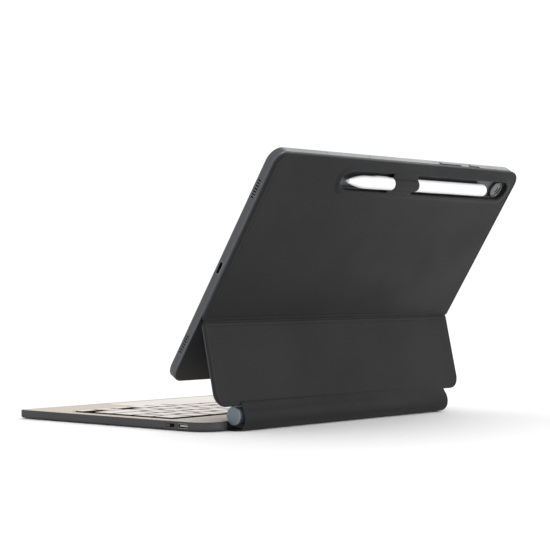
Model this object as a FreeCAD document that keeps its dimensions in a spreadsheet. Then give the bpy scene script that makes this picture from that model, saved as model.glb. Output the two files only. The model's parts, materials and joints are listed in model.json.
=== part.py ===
"""Keyboard case for a tablet, with the tablet and its stylus docked, as separate parts.

The keyboard lies flat on the table. A hinge barrel along its rear edge carries a stand panel,
a leather crease joins that to the upper panel, and the upper panel holds the tablet.
X runs to the user's right, Y runs to the rear, Z is up, and the feet stand on Z = 0.
"""

import FreeCAD
import Part
import Sketcher
import math
import os
import re

DOC = FreeCAD.newDocument("TabletKeyboardCase")
VEC = FreeCAD.Vector

# Every driving size, in millimetres and degrees.
SIZES = {
    # the keyboard's middle lies this far in front of the origin
    "origin_shift": -27.659,
    # keyboard
    "kb_half": 127.5,
    "kb_front": -91.5,
    "kb_rear": 85.0,
    "kb_floor": 0.6,
    "kb_top": 6.0,
    "front_corner": 4.0,
    "rear_corner": 16.0,
    "tray_wall": 1.4,
    "tray_ledge": 1.2,
    "tray_base": 1.2,
    "tray_lower_round": 1.5,
    "tray_upper_round": 0.5,
    "bay_half": 108.5,
    "bay_front": 82.0,
    "deck_thick": 1.1,
    "fit_gap": 0.1,
    "foot_long": 42.0,
    "foot_wide": 6.0,
    "foot_x": 92.0,
    "foot_front_y": -78.0,
    "foot_rear_y": 68.0,
    # keys
    "key_field_half": 117.0,
    "key_units": 14.0,
    "row_pitch": 18.8,
    "first_row_y": -39.1,
    "key_gap": 1.9,
    "key_corner": 1.6,
    "key_edge": 0.3,
    "key_bottom": 4.5,
    "key_top": 6.8,
    "well_margin": 0.8,
    "plate_thick": 0.7,
    "sheet_thick": 0.3,
    "dome_rad": 3.4,
    "dome_high": 0.6,
    # trackpad and what lies under it
    "pad_half": 52.0,
    "pad_front": -85.5,
    "pad_rear": -54.0,
    "pad_thick": 1.0,
    "pad_gap": 0.4,
    "pad_corner": 3.0,
    "cell_thick": 1.8,
    "switch_board": 0.4,
    "switch_dome": 0.6,
    "switch_half": 12.0,
    "switch_y": -68.5,
    "switch_deep": 13.0,
    "switch_dome_rad": 3.0,
    # cells, board, magnets and light in the keyboard
    "cell_in": 1.0,
    "cell_out": 50.0,
    "cell_front": -84.0,
    "cell_rear": -53.0,
    "cell_round": 0.5,
    "board_thick": 0.8,
    "chip_high": 1.0,
    "closer_in": 70.0,
    "closer_out": 100.0,
    "closer_rear": -78.0,
    "closer_thick": 1.5,
    "light_x": 112.0,
    "light_y": 51.0,
    "light_rad": 0.75,
    # right side port and switch
    "port_y": 65.0,
    "port_z": 3.35,
    "port_wide": 9.0,
    "port_high": 3.0,
    "port_wall": 0.3,
    "port_deep": 7.0,
    "port_slack": 0.1,
    "port_recess": 0.2,
    "port_back": 0.5,
    "tongue_wide": 6.7,
    "tongue_thick": 0.7,
    "tongue_recess": 1.2,
    "knob_slot_y": 50.0,
    "knob_slot_long": 8.0,
    "knob_slot_high": 2.2,
    "knob_long": 3.5,
    "knob_high": 1.7,
    "knob_z": 3.4,
    "knob_recess": 0.1,
    "knob_deep": 2.8,
    "knob_flange": 1.0,
    # hinge along the rear edge
    "axis_y": 89.0,
    "axis_z": 9.6,
    "barrel_rad": 5.85,
    "barrel_bore": 4.6,
    "barrel_half": 105.3,
    "cap_thick": 2.0,
    "cap_spigot": 3.0,
    "cap_chamfer": 0.5,
    "side_tube_in": 69.3,
    "mid_tube_half": 46.0,
    "knuckle_in": 47.0,
    "knuckle_out": 68.5,
    "knuckle_rad": 5.5,
    "knuckle_bore": 2.04,
    "shaft_rad": 2.0,
    "shaft_half": 102.0,
    "bush_long": 6.0,
    "bracket_front": 66.0,
    "bracket_rear": 90.0,
    "bracket_thick": 1.4,
    "bracket_step": 4.8,
    "screw_rad": 0.8,
    "screw_head_rad": 1.4,
    "screw_head_high": 0.7,
    "screw_y": 72.0,
    # leather wrap behind the barrel
    "wrap_half": 105.5,
    "wrap_thick": 0.8,
    "wrap_low": 0.1,
    "wrap_front": 78.0,
    "wrap_round": 9.3,
    "wrap_off": 7.4,
    "wrap_end": 13.0,
    # stand panel, measured up from the hinge axis and out from it
    "stand_angle": 102.6,
    "stand_half": 126.25,
    "stand_low": 5.4,
    "stand_high": 57.1,
    "stand_out": 6.6,
    "stand_in": 3.6,
    "stand_corner": 9.0,
    "leaf_high": 18.0,
    # crease and upper panel, measured from the crease axis
    "crease_up": 58.6,
    "crease_out": 6.2,
    "crease_rad": 1.2,
    "crease_half": 124.0,
    "upper_angle": 57.2,
    "upper_half": 127.0,
    "upper_low": 1.5,
    "upper_high": 119.0,
    "upper_out": 0.4,
    "upper_in": 2.9,
    "upper_corner": 9.5,
    "panel_low_corner": 1.0,
    "skin": 0.7,
    "panel_edge": 1.5,
    "edge_round": 0.65,
    "lining_thick": 0.9,
    "lining_inset": 0.4,
    "magnet_rad": 5.0,
    "magnet_thick": 1.2,
    # pen slot and loop
    "slot_left": 60.0,
    "slot_right": -118.5,
    "slot_half": 6.75,
    "rim_wide": 2.2,
    "rim_high": 0.8,
    "pen_s": 104.2,
    "pen_rad": 4.15,
    "loop_gap": 0.3,
    "loop_thick": 0.9,
    "loop_left": 13.5,
    "loop_right": -9.0,
    "loop_foot": 8.8,
    # tablet
    "tab_half": 127.15,
    "tab_low": -47.1,
    "tab_high": 118.7,
    "tab_back": 2.95,
    "tab_front": 8.8,
    "tab_corner": 9.5,
    "tab_chamfer": 0.6,
    "tab_bezel": 1.3,
    "glass_thick": 0.85,
    "tab_wall": 3.0,
    "tab_skin": 0.9,
    "side_z": 5.9,
    "grille_pitch": 1.9,
    "grille_wide": 1.0,
    "grille_high": 2.6,
    "mesh_thick": 0.3,
    "mic_rad": 0.5,
    "mic_deep": 1.5,
    "tab_cell_thick": 3.0,
    "tab_board_thick": 1.0,
    "tab_chip_high": 1.4,
    "tab_port_s": 35.3,
    "button_z": 5.4,
    "button_high": 2.4,
    "button_proud": 0.5,
    "button_deep": 1.6,
    "volume_x": -49.4,
    "volume_long": 23.8,
    "power_x": -77.1,
    "power_long": 11.2,
    "camera_x": -110.5,
    "camera_s": 103.8,
    "camera_rad": 6.0,
    "camera_glass_rad": 4.6,
    "camera_high": 1.65,
    "camera_pupil": 2.2,
    # stylus, along its own axis
    "pen_tail": -91.0,
    "pen_cap_end": -86.6,
    "pen_shoulder": 41.0,
    "pen_cone_end": 56.4,
    "pen_nib_end": 58.4,
    "pen_cone_rad": 1.2,
    "pen_nib_rad": 0.8,
    "pen_bore": 3.2,
    "pen_button_x": 18.0,
    "pen_button_long": 14.0,
    "pen_button_wide": 2.6,
    "pen_button_deep": 0.7,
    "pen_button_proud": 0.25,
}

# Sizes that follow from others: where the crease axis and the pen's axis lie.
DERIVED = {
    "hinge_y": "axis_y + origin_shift",
    "fold_y": "hinge_y + crease_out * sin(stand_angle * 1deg) + crease_up * cos(stand_angle * 1deg)",
    "fold_z": "axis_z - crease_out * cos(stand_angle * 1deg) + crease_up * sin(stand_angle * 1deg)",
    "pen_w": "tab_back - pen_rad - 0.1",
    "pen_y": "fold_y + pen_s * cos(upper_angle * 1deg) - pen_w * sin(upper_angle * 1deg)",
    "pen_z": "fold_z + pen_s * sin(upper_angle * 1deg) + pen_w * cos(upper_angle * 1deg)",
    "key_pitch": "2 * key_field_half / key_units",
    "tray_floor": "kb_floor + tray_base",
    "deck_under": "kb_top - deck_thick",
    "stand_core": "stand_out - skin",
    "stand_back": "stand_in + lining_thick",
}

# Key widths of each row in key units, from the user's left.
ROWS = {
    "lower_letter_keys": (1, [2.0] + [1.0] * 10 + [2.0]),
    "home_letter_keys": (2, [1.5] + [1.0] * 11 + [1.5]),
    "upper_letter_keys": (3, [1.3] + [1.0] * 12 + [0.7]),
    "number_keys": (4, [0.8] + [1.0] * 12 + [1.2]),
}
FRONT_ROW = {
    "left_modifier_keys": (0.0, [1.0, 1.0, 1.0, 1.2]),
    "space_bar": (4.2, [5.0]),
    "right_modifier_keys": (9.2, [1.0, 1.0]),
}
ARROW_START = 11.2
ARROW_WIDTH = 2.8 / 3

KNUCKLES = (("knuckle_in", "knuckle_out"), ("-knuckle_out", "-knuckle_in"))
TUBES = (
    ("side_tube_in", "barrel_half"),
    ("-mid_tube_half", "mid_tube_half"),
    ("-barrel_half", "-side_tube_in"),
)
BRACKETS = ((75.0, 99.0), (-20.0, 20.0), (-99.0, -75.0))
SCREWS_X = (80.0, 94.0, -12.0, 12.0, -94.0, -80.0)
MAGNETS_X = (-90.0, -45.0, 0.0, 45.0, 90.0)
MAGNETS_S = (30.0, 75.0)
BOARD_CHIPS = ((66.0, 73.0, 53.0, 60.0), (80.0, 85.0, 54.0, 59.0), (92.0, 104.0, 53.0, 57.0))
TABLET_CELLS = ((5.0, 95.0), (-85.0, -5.0))
TABLET_CHIPS = ((-60.0, -30.0, 88.0, 108.0), (0.0, 24.0, 90.0, 106.0), (60.0, 90.0, 88.0, 108.0))
GRILLES_S = (91.0, -20.5)
GRILLE_SLOTS = 7
MICS_X = (78.9, 36.8, -31.4)
TAPER_STEPS = (0.12, 0.25, 0.4, 0.55, 0.7, 0.85)

LOOPS_PER_SKETCH = 4
CIRCLES_PER_SKETCH = 10

FRAMES = {
    "keyboard": ("origin_shift", "0", "0"),
    "stand": ("hinge_y", "axis_z", "stand_angle"),
    "crease": ("fold_y", "fold_z", "stand_angle"),
    "upper": ("fold_y", "fold_z", "upper_angle"),
    "pen": ("pen_y", "pen_z", "upper_angle"),
}


def make_table():
    """Fill the spreadsheet with every size under its own alias."""
    table = DOC.addObject("Spreadsheet::Sheet", "Dims")
    rows = [(name, str(size)) for name, size in SIZES.items()]
    rows += [(name, "=" + rule) for name, rule in DERIVED.items()]
    for row, (name, entry) in enumerate(rows, start=1):
        table.set(f"A{row}", name)
        table.set(f"B{row}", entry)
        table.setAlias(f"B{row}", name)
    DOC.recompute()
    return table


TABLE = make_table()
NAMES = set(SIZES) | set(DERIVED)


def tied(rule):
    """Turn a rule such as 'kb_rear - fit_gap' into an expression on the table."""
    return re.sub(r"[a-z_]+", lambda m: "Dims." + m.group() if m.group() in NAMES else m.group(), str(rule))


def size(rule):
    """Work a rule out to a plain number."""
    answer = TABLE.evalExpression(tied(rule).replace("Dims.", ""))
    return float(getattr(answer, "Value", answer))


def rectangle(low_x, high_x, low_y, high_y, corner="0"):
    """Corners of an upright rectangle, each as (x, y, corner radius)."""
    return [
        (low_x, low_y, corner),
        (high_x, low_y, corner),
        (high_x, high_y, corner),
        (low_x, high_y, corner),
    ]


def centred(x, y, wide, high, corner="0"):
    """Corners of a rectangle about a centre point."""
    return rectangle(f"{x} - ({wide}) / 2", f"{x} + ({wide}) / 2", f"{y} - ({high}) / 2",
                     f"{y} + ({high}) / 2", corner)


class Outline:
    """A sketch on one of a body's own planes, with every line tied to the size table."""

    def __init__(self, body, plane, lift):
        self.sketch = body.newObject("Sketcher::SketchObject", "Outline")
        support = [part for part in body.Origin.OriginFeatures if part.Role == plane][0]
        self.sketch.AttachmentSupport = [(support, "")]
        self.sketch.MapMode = "FlatFace"
        self.sketch.setExpression("AttachmentOffset.Base.z", tied(lift))
        self.shapes = []
        self.constraints = []
        self.rules = {}

    def draw(self, shape):
        """Take in one line, arc or circle and return its number."""
        self.shapes.append(shape)
        return len(self.shapes) - 1

    def bind(self, kind, reference, rule):
        """Take in one dimension that the table drives."""
        self.rules[len(self.constraints)] = rule
        self.constraints.append(Sketcher.Constraint(kind, *reference, size(rule)))

    def join(self, kind, *reference):
        """Take in one geometric constraint."""
        self.constraints.append(Sketcher.Constraint(kind, *reference))

    def commit(self):
        """Write everything taken in to the sketch and tie its dimensions to the table."""
        self.sketch.addGeometry(self.shapes, False)
        self.sketch.addConstraint(self.constraints)
        for index, rule in self.rules.items():
            self.sketch.renameConstraint(index, f"size{index}")
            self.sketch.setExpression(f"Constraints.size{index}", tied(rule))
        return self.sketch

    def circle(self, x, y, radius):
        """Draw a circle about (x, y)."""
        item = self.draw(Part.Circle(VEC(size(x), size(y), 0), VEC(0, 0, 1), size(radius)))
        self.bind("DistanceX", (-1, 1, item, 3), x)
        self.bind("DistanceY", (-1, 1, item, 3), y)
        self.bind("Radius", (item,), radius)

    def loop(self, corners):
        """Draw a closed run of level and upright lines, with an arc at each rounded corner."""
        count = len(corners)
        spots = [VEC(size(x), size(y), 0) for x, y, _ in corners]
        radii = [size(corner) for _, _, corner in corners]
        runs = [(spots[(i + 1) % count] - spots[i]).normalize() for i in range(count)]
        lines = []
        for i, run in enumerate(runs):
            after = (i + 1) % count
            line = self.draw(Part.LineSegment(spots[i] + run * radii[i], spots[after] - run * radii[after]))
            level = abs(run.x) > abs(run.y)
            self.join("Horizontal" if level else "Vertical", line)
            self.bind("DistanceY" if level else "DistanceX", (-1, 1, line, 1), corners[i][1 if level else 0])
            lines.append(line)
        for i in range(count):
            ends = (lines[i - 1], lines[i])
            if radii[i] == 0:
                self.join("Coincident", ends[0], 2, ends[1], 1)
            else:
                self.round_corner(ends, spots[i], (runs[i - 1], runs[i]), radii[i], corners[i][2])

    def round_corner(self, lines, spot, runs, radius, rule):
        """Join two lines of a loop by an arc tangent to both."""
        start = spot - runs[0] * radius
        end = spot + runs[1] * radius
        centre = end - runs[0] * radius
        middle = centre + (spot - centre).normalize() * radius
        arc = self.draw(Part.Arc(start, middle, end))
        begins = 1 if runs[0].cross(runs[1]).z > 0 else 2
        self.join("Tangent", lines[0], 2, arc, begins)
        self.join("Tangent", arc, 3 - begins, lines[1], 1)
        self.bind("Radius", (arc,), rule)

    def polygon(self, points):
        """Draw a closed run of lines at any slope, with both coordinates of each point tied."""
        count = len(points)
        spots = [VEC(size(x), size(y), 0) for x, y in points]
        lines = [self.draw(Part.LineSegment(spots[i], spots[(i + 1) % count])) for i in range(count)]
        for i, (x, y) in enumerate(points):
            self.join("Coincident", lines[i - 1], 2, lines[i], 1)
            self.bind("DistanceX", (-1, 1, lines[i], 1), x)
            self.bind("DistanceY", (-1, 1, lines[i], 1), y)


class Piece:
    """One separate part of the case, as a PartDesign body set in its own frame."""

    def __init__(self, label, frame="keyboard"):
        self.body = DOC.addObject("PartDesign::Body", label)
        self.body.Label = label
        self.body.AllowCompound = True
        along, up, angle = FRAMES[frame]
        self.body.Placement = FreeCAD.Placement(
            VEC(0, size(along), size(up)), FreeCAD.Rotation(VEC(1, 0, 0), size(angle)))
        self.body.setExpression("Placement.Base.y", tied(along))
        self.body.setExpression("Placement.Base.z", tied(up))
        self.body.setExpression("Placement.Rotation.Angle", tied(angle))

    def outline(self, plane, lift, loops=(), circles=(), polygons=()):
        """Draw a sketch of loops, circles and polygons on a plane."""
        outline = Outline(self.body, plane, lift)
        for corners in loops:
            outline.loop(corners)
        for circle in circles:
            outline.circle(*circle)
        for points in polygons:
            outline.polygon(points)
        return outline.commit()

    def extrude(self, kind, low, high, plane, shapes):
        """Extrude shapes between two levels along the plane's axis, a few shapes to a sketch."""
        for name, most in (("loops", LOOPS_PER_SKETCH), ("circles", CIRCLES_PER_SKETCH)):
            several = shapes.get(name, ())
            if len(several) > most:
                self.extrude(kind, low, high, plane, {name: several[:most]})
                return self.extrude(kind, low, high, plane, {**shapes, name: several[most:]})
        sketch = self.outline(plane, low, **shapes)
        feature = self.body.newObject(kind, "Extrusion")
        feature.Profile = sketch
        feature.Length = size(f"{high} - ({low})")
        feature.setExpression("Length", tied(f"{high} - ({low})"))
        feature.Reversed = kind == "PartDesign::Pocket"
        return self.finish(feature)

    def add(self, low, high, plane="XY_Plane", **shapes):
        """Add material between two levels."""
        return self.extrude("PartDesign::Pad", low, high, plane, shapes)

    def cut(self, low, high, plane="XY_Plane", **shapes):
        """Remove material between two levels, and make sure some was removed."""
        before = self.body.Shape.Volume
        feature = self.extrude("PartDesign::Pocket", low, high, plane, shapes)
        if feature.Shape.Volume > before - 1e-6:
            raise ValueError(self.body.Label + " was not cut")
        return feature

    def turn(self, points):
        """Add material turned about the piece's own X axis."""
        sketch = self.outline("XY_Plane", "0", polygons=[points])
        feature = self.body.newObject("PartDesign::Revolution", "Turned")
        feature.Profile = sketch
        feature.ReferenceAxis = (sketch, ["H_Axis"])
        feature.Angle = 360.0
        return self.finish(feature)

    def dress(self, kind, setting, amount, wanted):
        """Round or bevel every edge of the piece that passes a test."""
        base = self.body.Tip
        names = [f"Edge{i}" for i, edge in enumerate(base.Shape.Edges, start=1) if wanted(edge)]
        feature = self.body.newObject(kind, "Edges")
        feature.Base = (base, names)
        feature.setExpression(setting, tied(amount))
        return self.finish(feature)

    def round(self, amount, wanted):
        """Round edges."""
        return self.dress("PartDesign::Fillet", "Radius", amount, wanted)

    def bevel(self, amount, wanted):
        """Bevel edges."""
        return self.dress("PartDesign::Chamfer", "Size", amount, wanted)

    def finish(self, feature):
        """Make a feature the body's tip and work it out."""
        self.body.Tip = feature
        DOC.recompute()
        if feature.Shape.isNull():
            raise ValueError(self.body.Label + " has an empty feature")
        return feature


def at_level(axis, level, reach=None):
    """Test for edges that lie wholly at one level of an axis, within an optional reach in X."""
    height = size(level)

    def test(edge):
        box = edge.BoundBox
        low = getattr(box, axis + "Min")
        high = getattr(box, axis + "Max")
        flat = abs(low - height) < 1e-4 and abs(high - height) < 1e-4
        return flat and (reach is None or reach(box))

    return test


def keyboard_outline(inset):
    """The keyboard's outline, drawn in by an inset, with the bay for the hinge barrel."""
    side = f"kb_half - ({inset})"
    front = f"kb_front + {inset}"
    rear = f"kb_rear - ({inset})"
    bay_side = f"bay_half + {inset}"
    bay = f"bay_front - ({inset})"
    return [
        (f"-({side})", front, f"front_corner - ({inset})"),
        (side, front, f"front_corner - ({inset})"),
        (side, rear, f"rear_corner - ({inset})"),
        (bay_side, rear, "0"),
        (bay_side, bay, "0"),
        (f"-({bay_side})", bay, "0"),
        (f"-({bay_side})", rear, "0"),
        (f"-({side})", rear, f"rear_corner - ({inset})"),
    ]


def well_outline():
    """Opening of the deck that the keys stand in."""
    side = "key_field_half + well_margin"
    front = "first_row_y - row_pitch / 2 - well_margin"
    rear = "first_row_y + 4.5 * row_pitch + well_margin"
    return rectangle(f"-({side})", side, front, rear, "key_corner")


def key_outline(start, width, row, low=0.0, high=1.0):
    """One key's outline from its start and width in key units and the part of the row it fills."""
    left = f"{start} * key_pitch - key_field_half + key_gap / 2"
    right = f"{round(start + width, 4)} * key_pitch - key_field_half - key_gap / 2"
    base = f"first_row_y + {row} * row_pitch - row_pitch / 2"
    front = f"{base} + {low} * row_pitch + key_gap / {2 if low == 0.0 else 4}"
    rear = f"{base} + {high} * row_pitch - key_gap / {2 if high == 1.0 else 4}"
    return rectangle(left, right, front, rear, "key_corner")


def run_of_keys(start, widths, row):
    """Outlines of neighbouring keys of one row."""
    outlines = []
    for width in widths:
        outlines.append(key_outline(round(start, 4), width, row))
        start += width
    return outlines


def build_keys():
    """Key caps, one part for each group."""
    groups = {name: run_of_keys(0.0, widths, row) for name, (row, widths) in ROWS.items()}
    for name, (start, widths) in FRONT_ROW.items():
        groups[name] = run_of_keys(start, widths, 0)
    groups["arrow_keys"] = [
        key_outline(ARROW_START, ARROW_WIDTH, 0, 0.0, 0.5),
        key_outline(round(ARROW_START + ARROW_WIDTH, 4), ARROW_WIDTH, 0, 0.0, 0.5),
        key_outline(round(ARROW_START + ARROW_WIDTH, 4), ARROW_WIDTH, 0, 0.5, 1.0),
        key_outline(round(ARROW_START + 2 * ARROW_WIDTH, 4), ARROW_WIDTH, 0, 0.0, 0.5),
    ]
    for name, outlines in groups.items():
        caps = Piece(name)
        caps.add("key_bottom", "key_top", loops=outlines)
        caps.bevel("key_edge", at_level("Z", "key_top"))
    return groups


def build_tray():
    """Lower shell of the keyboard, with its side openings and the slots of the hinge brackets."""
    tray = Piece("base_tray")
    tray.add("kb_floor", "kb_top", loops=[keyboard_outline("0")])

    def off_bay(box):
        return max(abs(box.XMin), abs(box.XMax)) > size("bay_half") + 1 or box.YMax < 0

    tray.round("tray_lower_round", at_level("Z", "kb_floor", off_bay))
    tray.round("tray_upper_round", at_level("Z", "kb_top", off_bay))
    tray.cut("tray_floor", "kb_top", loops=[keyboard_outline("tray_wall + tray_ledge")])
    tray.cut("deck_under", "kb_top", loops=[keyboard_outline("tray_wall")])
    tray.cut("kb_half - 4", "kb_half + 1", "YZ_Plane", loops=[
        centred("port_y", "port_z", "port_wide", "port_high", "port_high / 2 - 0.05"),
        rectangle("knob_slot_y", "knob_slot_y + knob_slot_long", "knob_z - knob_slot_high / 2",
                  "knob_z + knob_slot_high / 2", "0.6"),
    ])
    slots = [rectangle(f"{low} - fit_gap", f"{high} + fit_gap", "bay_front - 4", "bay_front + 1")
             for low, high in BRACKETS]
    tray.cut("tray_floor", "tray_floor + bracket_thick + fit_gap", loops=slots)
    tray.cut("kb_floor + 0.3", "tray_floor + 0.2", circles=[(str(x), "screw_y", "screw_rad") for x in SCREWS_X])


def build_deck():
    """Palm rest and key surround that drops into the tray."""
    deck = Piece("palm_deck")
    deck.add("deck_under", "kb_top", loops=[keyboard_outline("tray_wall + fit_gap")])
    deck.cut("deck_under", "kb_top", loops=[
        well_outline(),
        rectangle("-pad_half - pad_gap", "pad_half + pad_gap", "pad_front - pad_gap", "pad_rear + pad_gap",
                  "pad_corner"),
    ], circles=[("light_x", "light_y", "light_rad + 0.05")])


def chips(spots):
    """Outlines of the square chips on a board."""
    return [rectangle(*(str(edge) for edge in spot), "0.3") for spot in spots]


def port_shell(label, frame, half, middle, z):
    """A metal shell that lines a charging port on the right side."""
    shell = Piece(label, frame)
    wide = "port_wide - port_slack"
    high = "port_high - port_slack"
    shell.add(f"{half} - port_deep", f"{half} - port_recess", "YZ_Plane", loops=[
        centred(middle, z, wide, high, "port_high / 2 - port_slack")])
    shell.cut(f"{half} - port_deep + port_back", half, "YZ_Plane", loops=[
        centred(middle, z, f"{wide} - 2 * port_wall", f"{high} - 2 * port_wall",
                "port_high / 2 - port_slack - port_wall")])


def build_keyboard_inside():
    """Plates, boards, cells and magnets inside the keyboard, and its feet."""
    field = rectangle("-key_field_half - 1.5", "key_field_half + 1.5", "first_row_y - row_pitch / 2 - 1",
                      "first_row_y + 4.5 * row_pitch + 1", "2")
    Piece("key_plate").add("tray_floor", "tray_floor + plate_thick", loops=[field])
    sheet = Piece("dome_sheet")
    sheet.add("tray_floor + plate_thick", "tray_floor + plate_thick + sheet_thick", loops=[field])
    domes = []
    for row in range(5):
        for column in range(14):
            domes.append((f"-key_field_half + {column + 0.5} * key_pitch", f"first_row_y + {row} * row_pitch",
                          "dome_rad"))
    sheet.add("tray_floor + plate_thick + sheet_thick",
              "tray_floor + plate_thick + sheet_thick + dome_high", circles=domes)
    cells = Piece("battery_cells")
    cells.add("tray_floor", "tray_floor + cell_thick", loops=[
        rectangle("cell_in", "cell_out", "cell_front", "cell_rear", "2"),
        rectangle("-cell_out", "-cell_in", "cell_front", "cell_rear", "2"),
    ])
    cells.round("cell_round", at_level("Z", "tray_floor + cell_thick"))
    board = Piece("controller_board")
    board.add("tray_floor", "tray_floor + board_thick", loops=[rectangle("62", "117", "50.5", "63.5", "1")])
    board.add("tray_floor + board_thick", "tray_floor + board_thick + chip_high", loops=chips(BOARD_CHIPS))
    Piece("closing_magnets").add("tray_floor", "tray_floor + closer_thick", loops=[
        rectangle("closer_in", "closer_out", "cell_front", "closer_rear", "0.5"),
        rectangle("-closer_out", "-closer_in", "cell_front", "closer_rear", "0.5"),
    ])
    pad = Piece("trackpad")
    pad.add("kb_top - pad_thick", "kb_top",
            loops=[rectangle("-pad_half", "pad_half", "pad_front", "pad_rear", "pad_corner - pad_gap")])
    pad.bevel("0.2", at_level("Z", "kb_top"))
    click = Piece("trackpad_switch")
    click.add("tray_floor + cell_thick", "tray_floor + cell_thick + switch_board",
              loops=[centred("0", "switch_y", "2 * switch_half", "switch_deep", "1")])
    click.add("tray_floor + cell_thick + switch_board", "tray_floor + cell_thick + switch_board + switch_dome",
              circles=[("0", "switch_y", "switch_dome_rad")])
    feet = Piece("rubber_feet")
    feet.add("0", "kb_floor", loops=[
        centred(f"{side} * foot_x", y, "foot_long", "foot_wide", "foot_wide / 2 - 0.05")
        for side in (-1, 1) for y in ("foot_front_y", "foot_rear_y")])
    light = Piece("status_light")
    light.add("deck_under", "kb_top", circles=[("light_x", "light_y", "light_rad")])


def build_side_fittings():
    """Charging port and power switch on the keyboard's right side."""
    port_shell("charging_port_shell", "keyboard", "kb_half", "port_y", "port_z")
    Piece("charging_port_tongue").add(
        "kb_half - port_deep + port_back", "kb_half - tongue_recess", "YZ_Plane",
        loops=[centred("port_y", "port_z", "tongue_wide", "tongue_thick", "0.2")])
    knob = Piece("power_switch")
    middle = "knob_slot_y + 0.25 + knob_long / 2"
    knob.add("kb_half - knob_deep - 0.1", "kb_half - knob_recess", "YZ_Plane",
             loops=[centred(middle, "knob_z", "knob_long", "knob_high", "0.4")])
    knob.add("kb_half - knob_deep - knob_flange", "kb_half - knob_deep", "YZ_Plane",
             loops=[centred(middle, "knob_z - 0.2", "knob_long + 1.5", "knob_high + 0.7", "0.4")])


def build_hinge():
    """Barrel, bushes, caps, shaft, brackets and screws of the main hinge."""
    barrel = Piece("hinge_barrel")
    for low, high in TUBES:
        barrel.add(low, high, "YZ_Plane", circles=[
            ("axis_y", "axis_z", "barrel_rad"), ("axis_y", "axis_z", "barrel_bore")])
    bushes = Piece("barrel_bushings")
    starts = ("side_tube_in", "mid_tube_half - bush_long", "-mid_tube_half", "-side_tube_in - bush_long")
    for start in starts:
        bushes.add(start, f"{start} + bush_long", "YZ_Plane", circles=[
            ("axis_y", "axis_z", "barrel_bore"), ("axis_y", "axis_z", "shaft_rad")])
    caps = Piece("barrel_end_caps")
    for low, high, inner, outer in (
        ("barrel_half", "barrel_half + cap_thick", "barrel_half - cap_spigot", "barrel_half"),
        ("-barrel_half - cap_thick", "-barrel_half", "-barrel_half", "-barrel_half + cap_spigot"),
    ):
        caps.add(low, high, "YZ_Plane", circles=[("axis_y", "axis_z", "barrel_rad")])
        caps.add(inner, outer, "YZ_Plane", circles=[("axis_y", "axis_z", "barrel_bore")])
    for end in ("barrel_half + cap_thick", "-barrel_half - cap_thick"):
        caps.bevel("cap_chamfer", at_level("X", end))
    Piece("hinge_shaft").add("-shaft_half", "shaft_half", "YZ_Plane", circles=[
        ("axis_y", "axis_z", "shaft_rad")])
    brackets = Piece("hinge_brackets")
    side = [
        ("bracket_front", "tray_floor"),
        ("bracket_rear", "tray_floor"),
        ("bracket_rear", "tray_floor + 2 * bracket_thick"),
        ("bracket_rear - bracket_step", "tray_floor + 2 * bracket_thick"),
        ("bracket_rear - bracket_step - 1", "tray_floor + bracket_thick"),
        ("bracket_front", "tray_floor + bracket_thick"),
    ]
    for low, high in BRACKETS:
        brackets.add(str(low), str(high), "YZ_Plane", polygons=[side])
    brackets.cut("-barrel_half", "barrel_half", "YZ_Plane", circles=[
        ("axis_y", "axis_z", "barrel_rad + fit_gap")])
    brackets.cut("tray_floor - 0.1", "tray_floor + bracket_thick + 0.1",
                 circles=[(str(x), "screw_y", "screw_rad") for x in SCREWS_X])
    screws = Piece("hinge_screws")
    screws.add("kb_floor + 0.35", "tray_floor + bracket_thick",
               circles=[(str(x), "screw_y", "screw_rad - 0.02") for x in SCREWS_X])
    screws.add("tray_floor + bracket_thick", "tray_floor + bracket_thick + screw_head_high",
               circles=[(str(x), "screw_y", "screw_head_rad") for x in SCREWS_X])


def wrap_corner(out, low):
    """Where a line beside the stand panel would meet a level line under the hinge."""
    drop = size("axis_z") - low
    angle = math.radians(size("stand_angle"))
    y = size("axis_y") + (out - drop * math.cos(angle)) / math.sin(angle)
    return VEC(y, low, 0)


def build_wrap():
    """Leather wrap that runs from under the keyboard round the barrel to the stand panel."""
    turn = "(180 - stand_angle) * 1deg"
    across = f"sin({turn})"
    lean = f"cos({turn})"

    def corner(out, low):
        return f"axis_y + ({out} + (axis_z - ({low})) * {lean}) / {across}"

    def end(out):
        return (f"axis_y + ({out}) * {across} - wrap_end * {lean}",
                f"axis_z + ({out}) * {lean} + wrap_end * {across}")

    inner = "wrap_off - wrap_thick + 0.05"
    shelf = "wrap_low + wrap_thick"
    wrap = Piece("hinge_wrap")
    wrap.add("-wrap_half", "wrap_half", "YZ_Plane", polygons=[[
        ("wrap_front", "wrap_low"),
        (corner("wrap_off", "wrap_low"), "wrap_low"),
        end("wrap_off"),
        end(inner),
        (corner(inner, shelf), shelf),
        ("bay_front + 0.3", shelf),
        ("bay_front + 0.3", "kb_floor"),
        ("wrap_front", "kb_floor"),
    ]])

    def near(spot):
        def test(edge):
            box = edge.BoundBox
            return box.XLength > 100 and abs(box.YMin - spot.x) < 0.01 and abs(box.ZMin - spot.y) < 0.01
        return test

    wrap.round("wrap_round", near(wrap_corner(size("wrap_off"), size("wrap_low"))))
    wrap.round("wrap_round - wrap_thick", near(wrap_corner(size(inner), size(shelf))))


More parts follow.
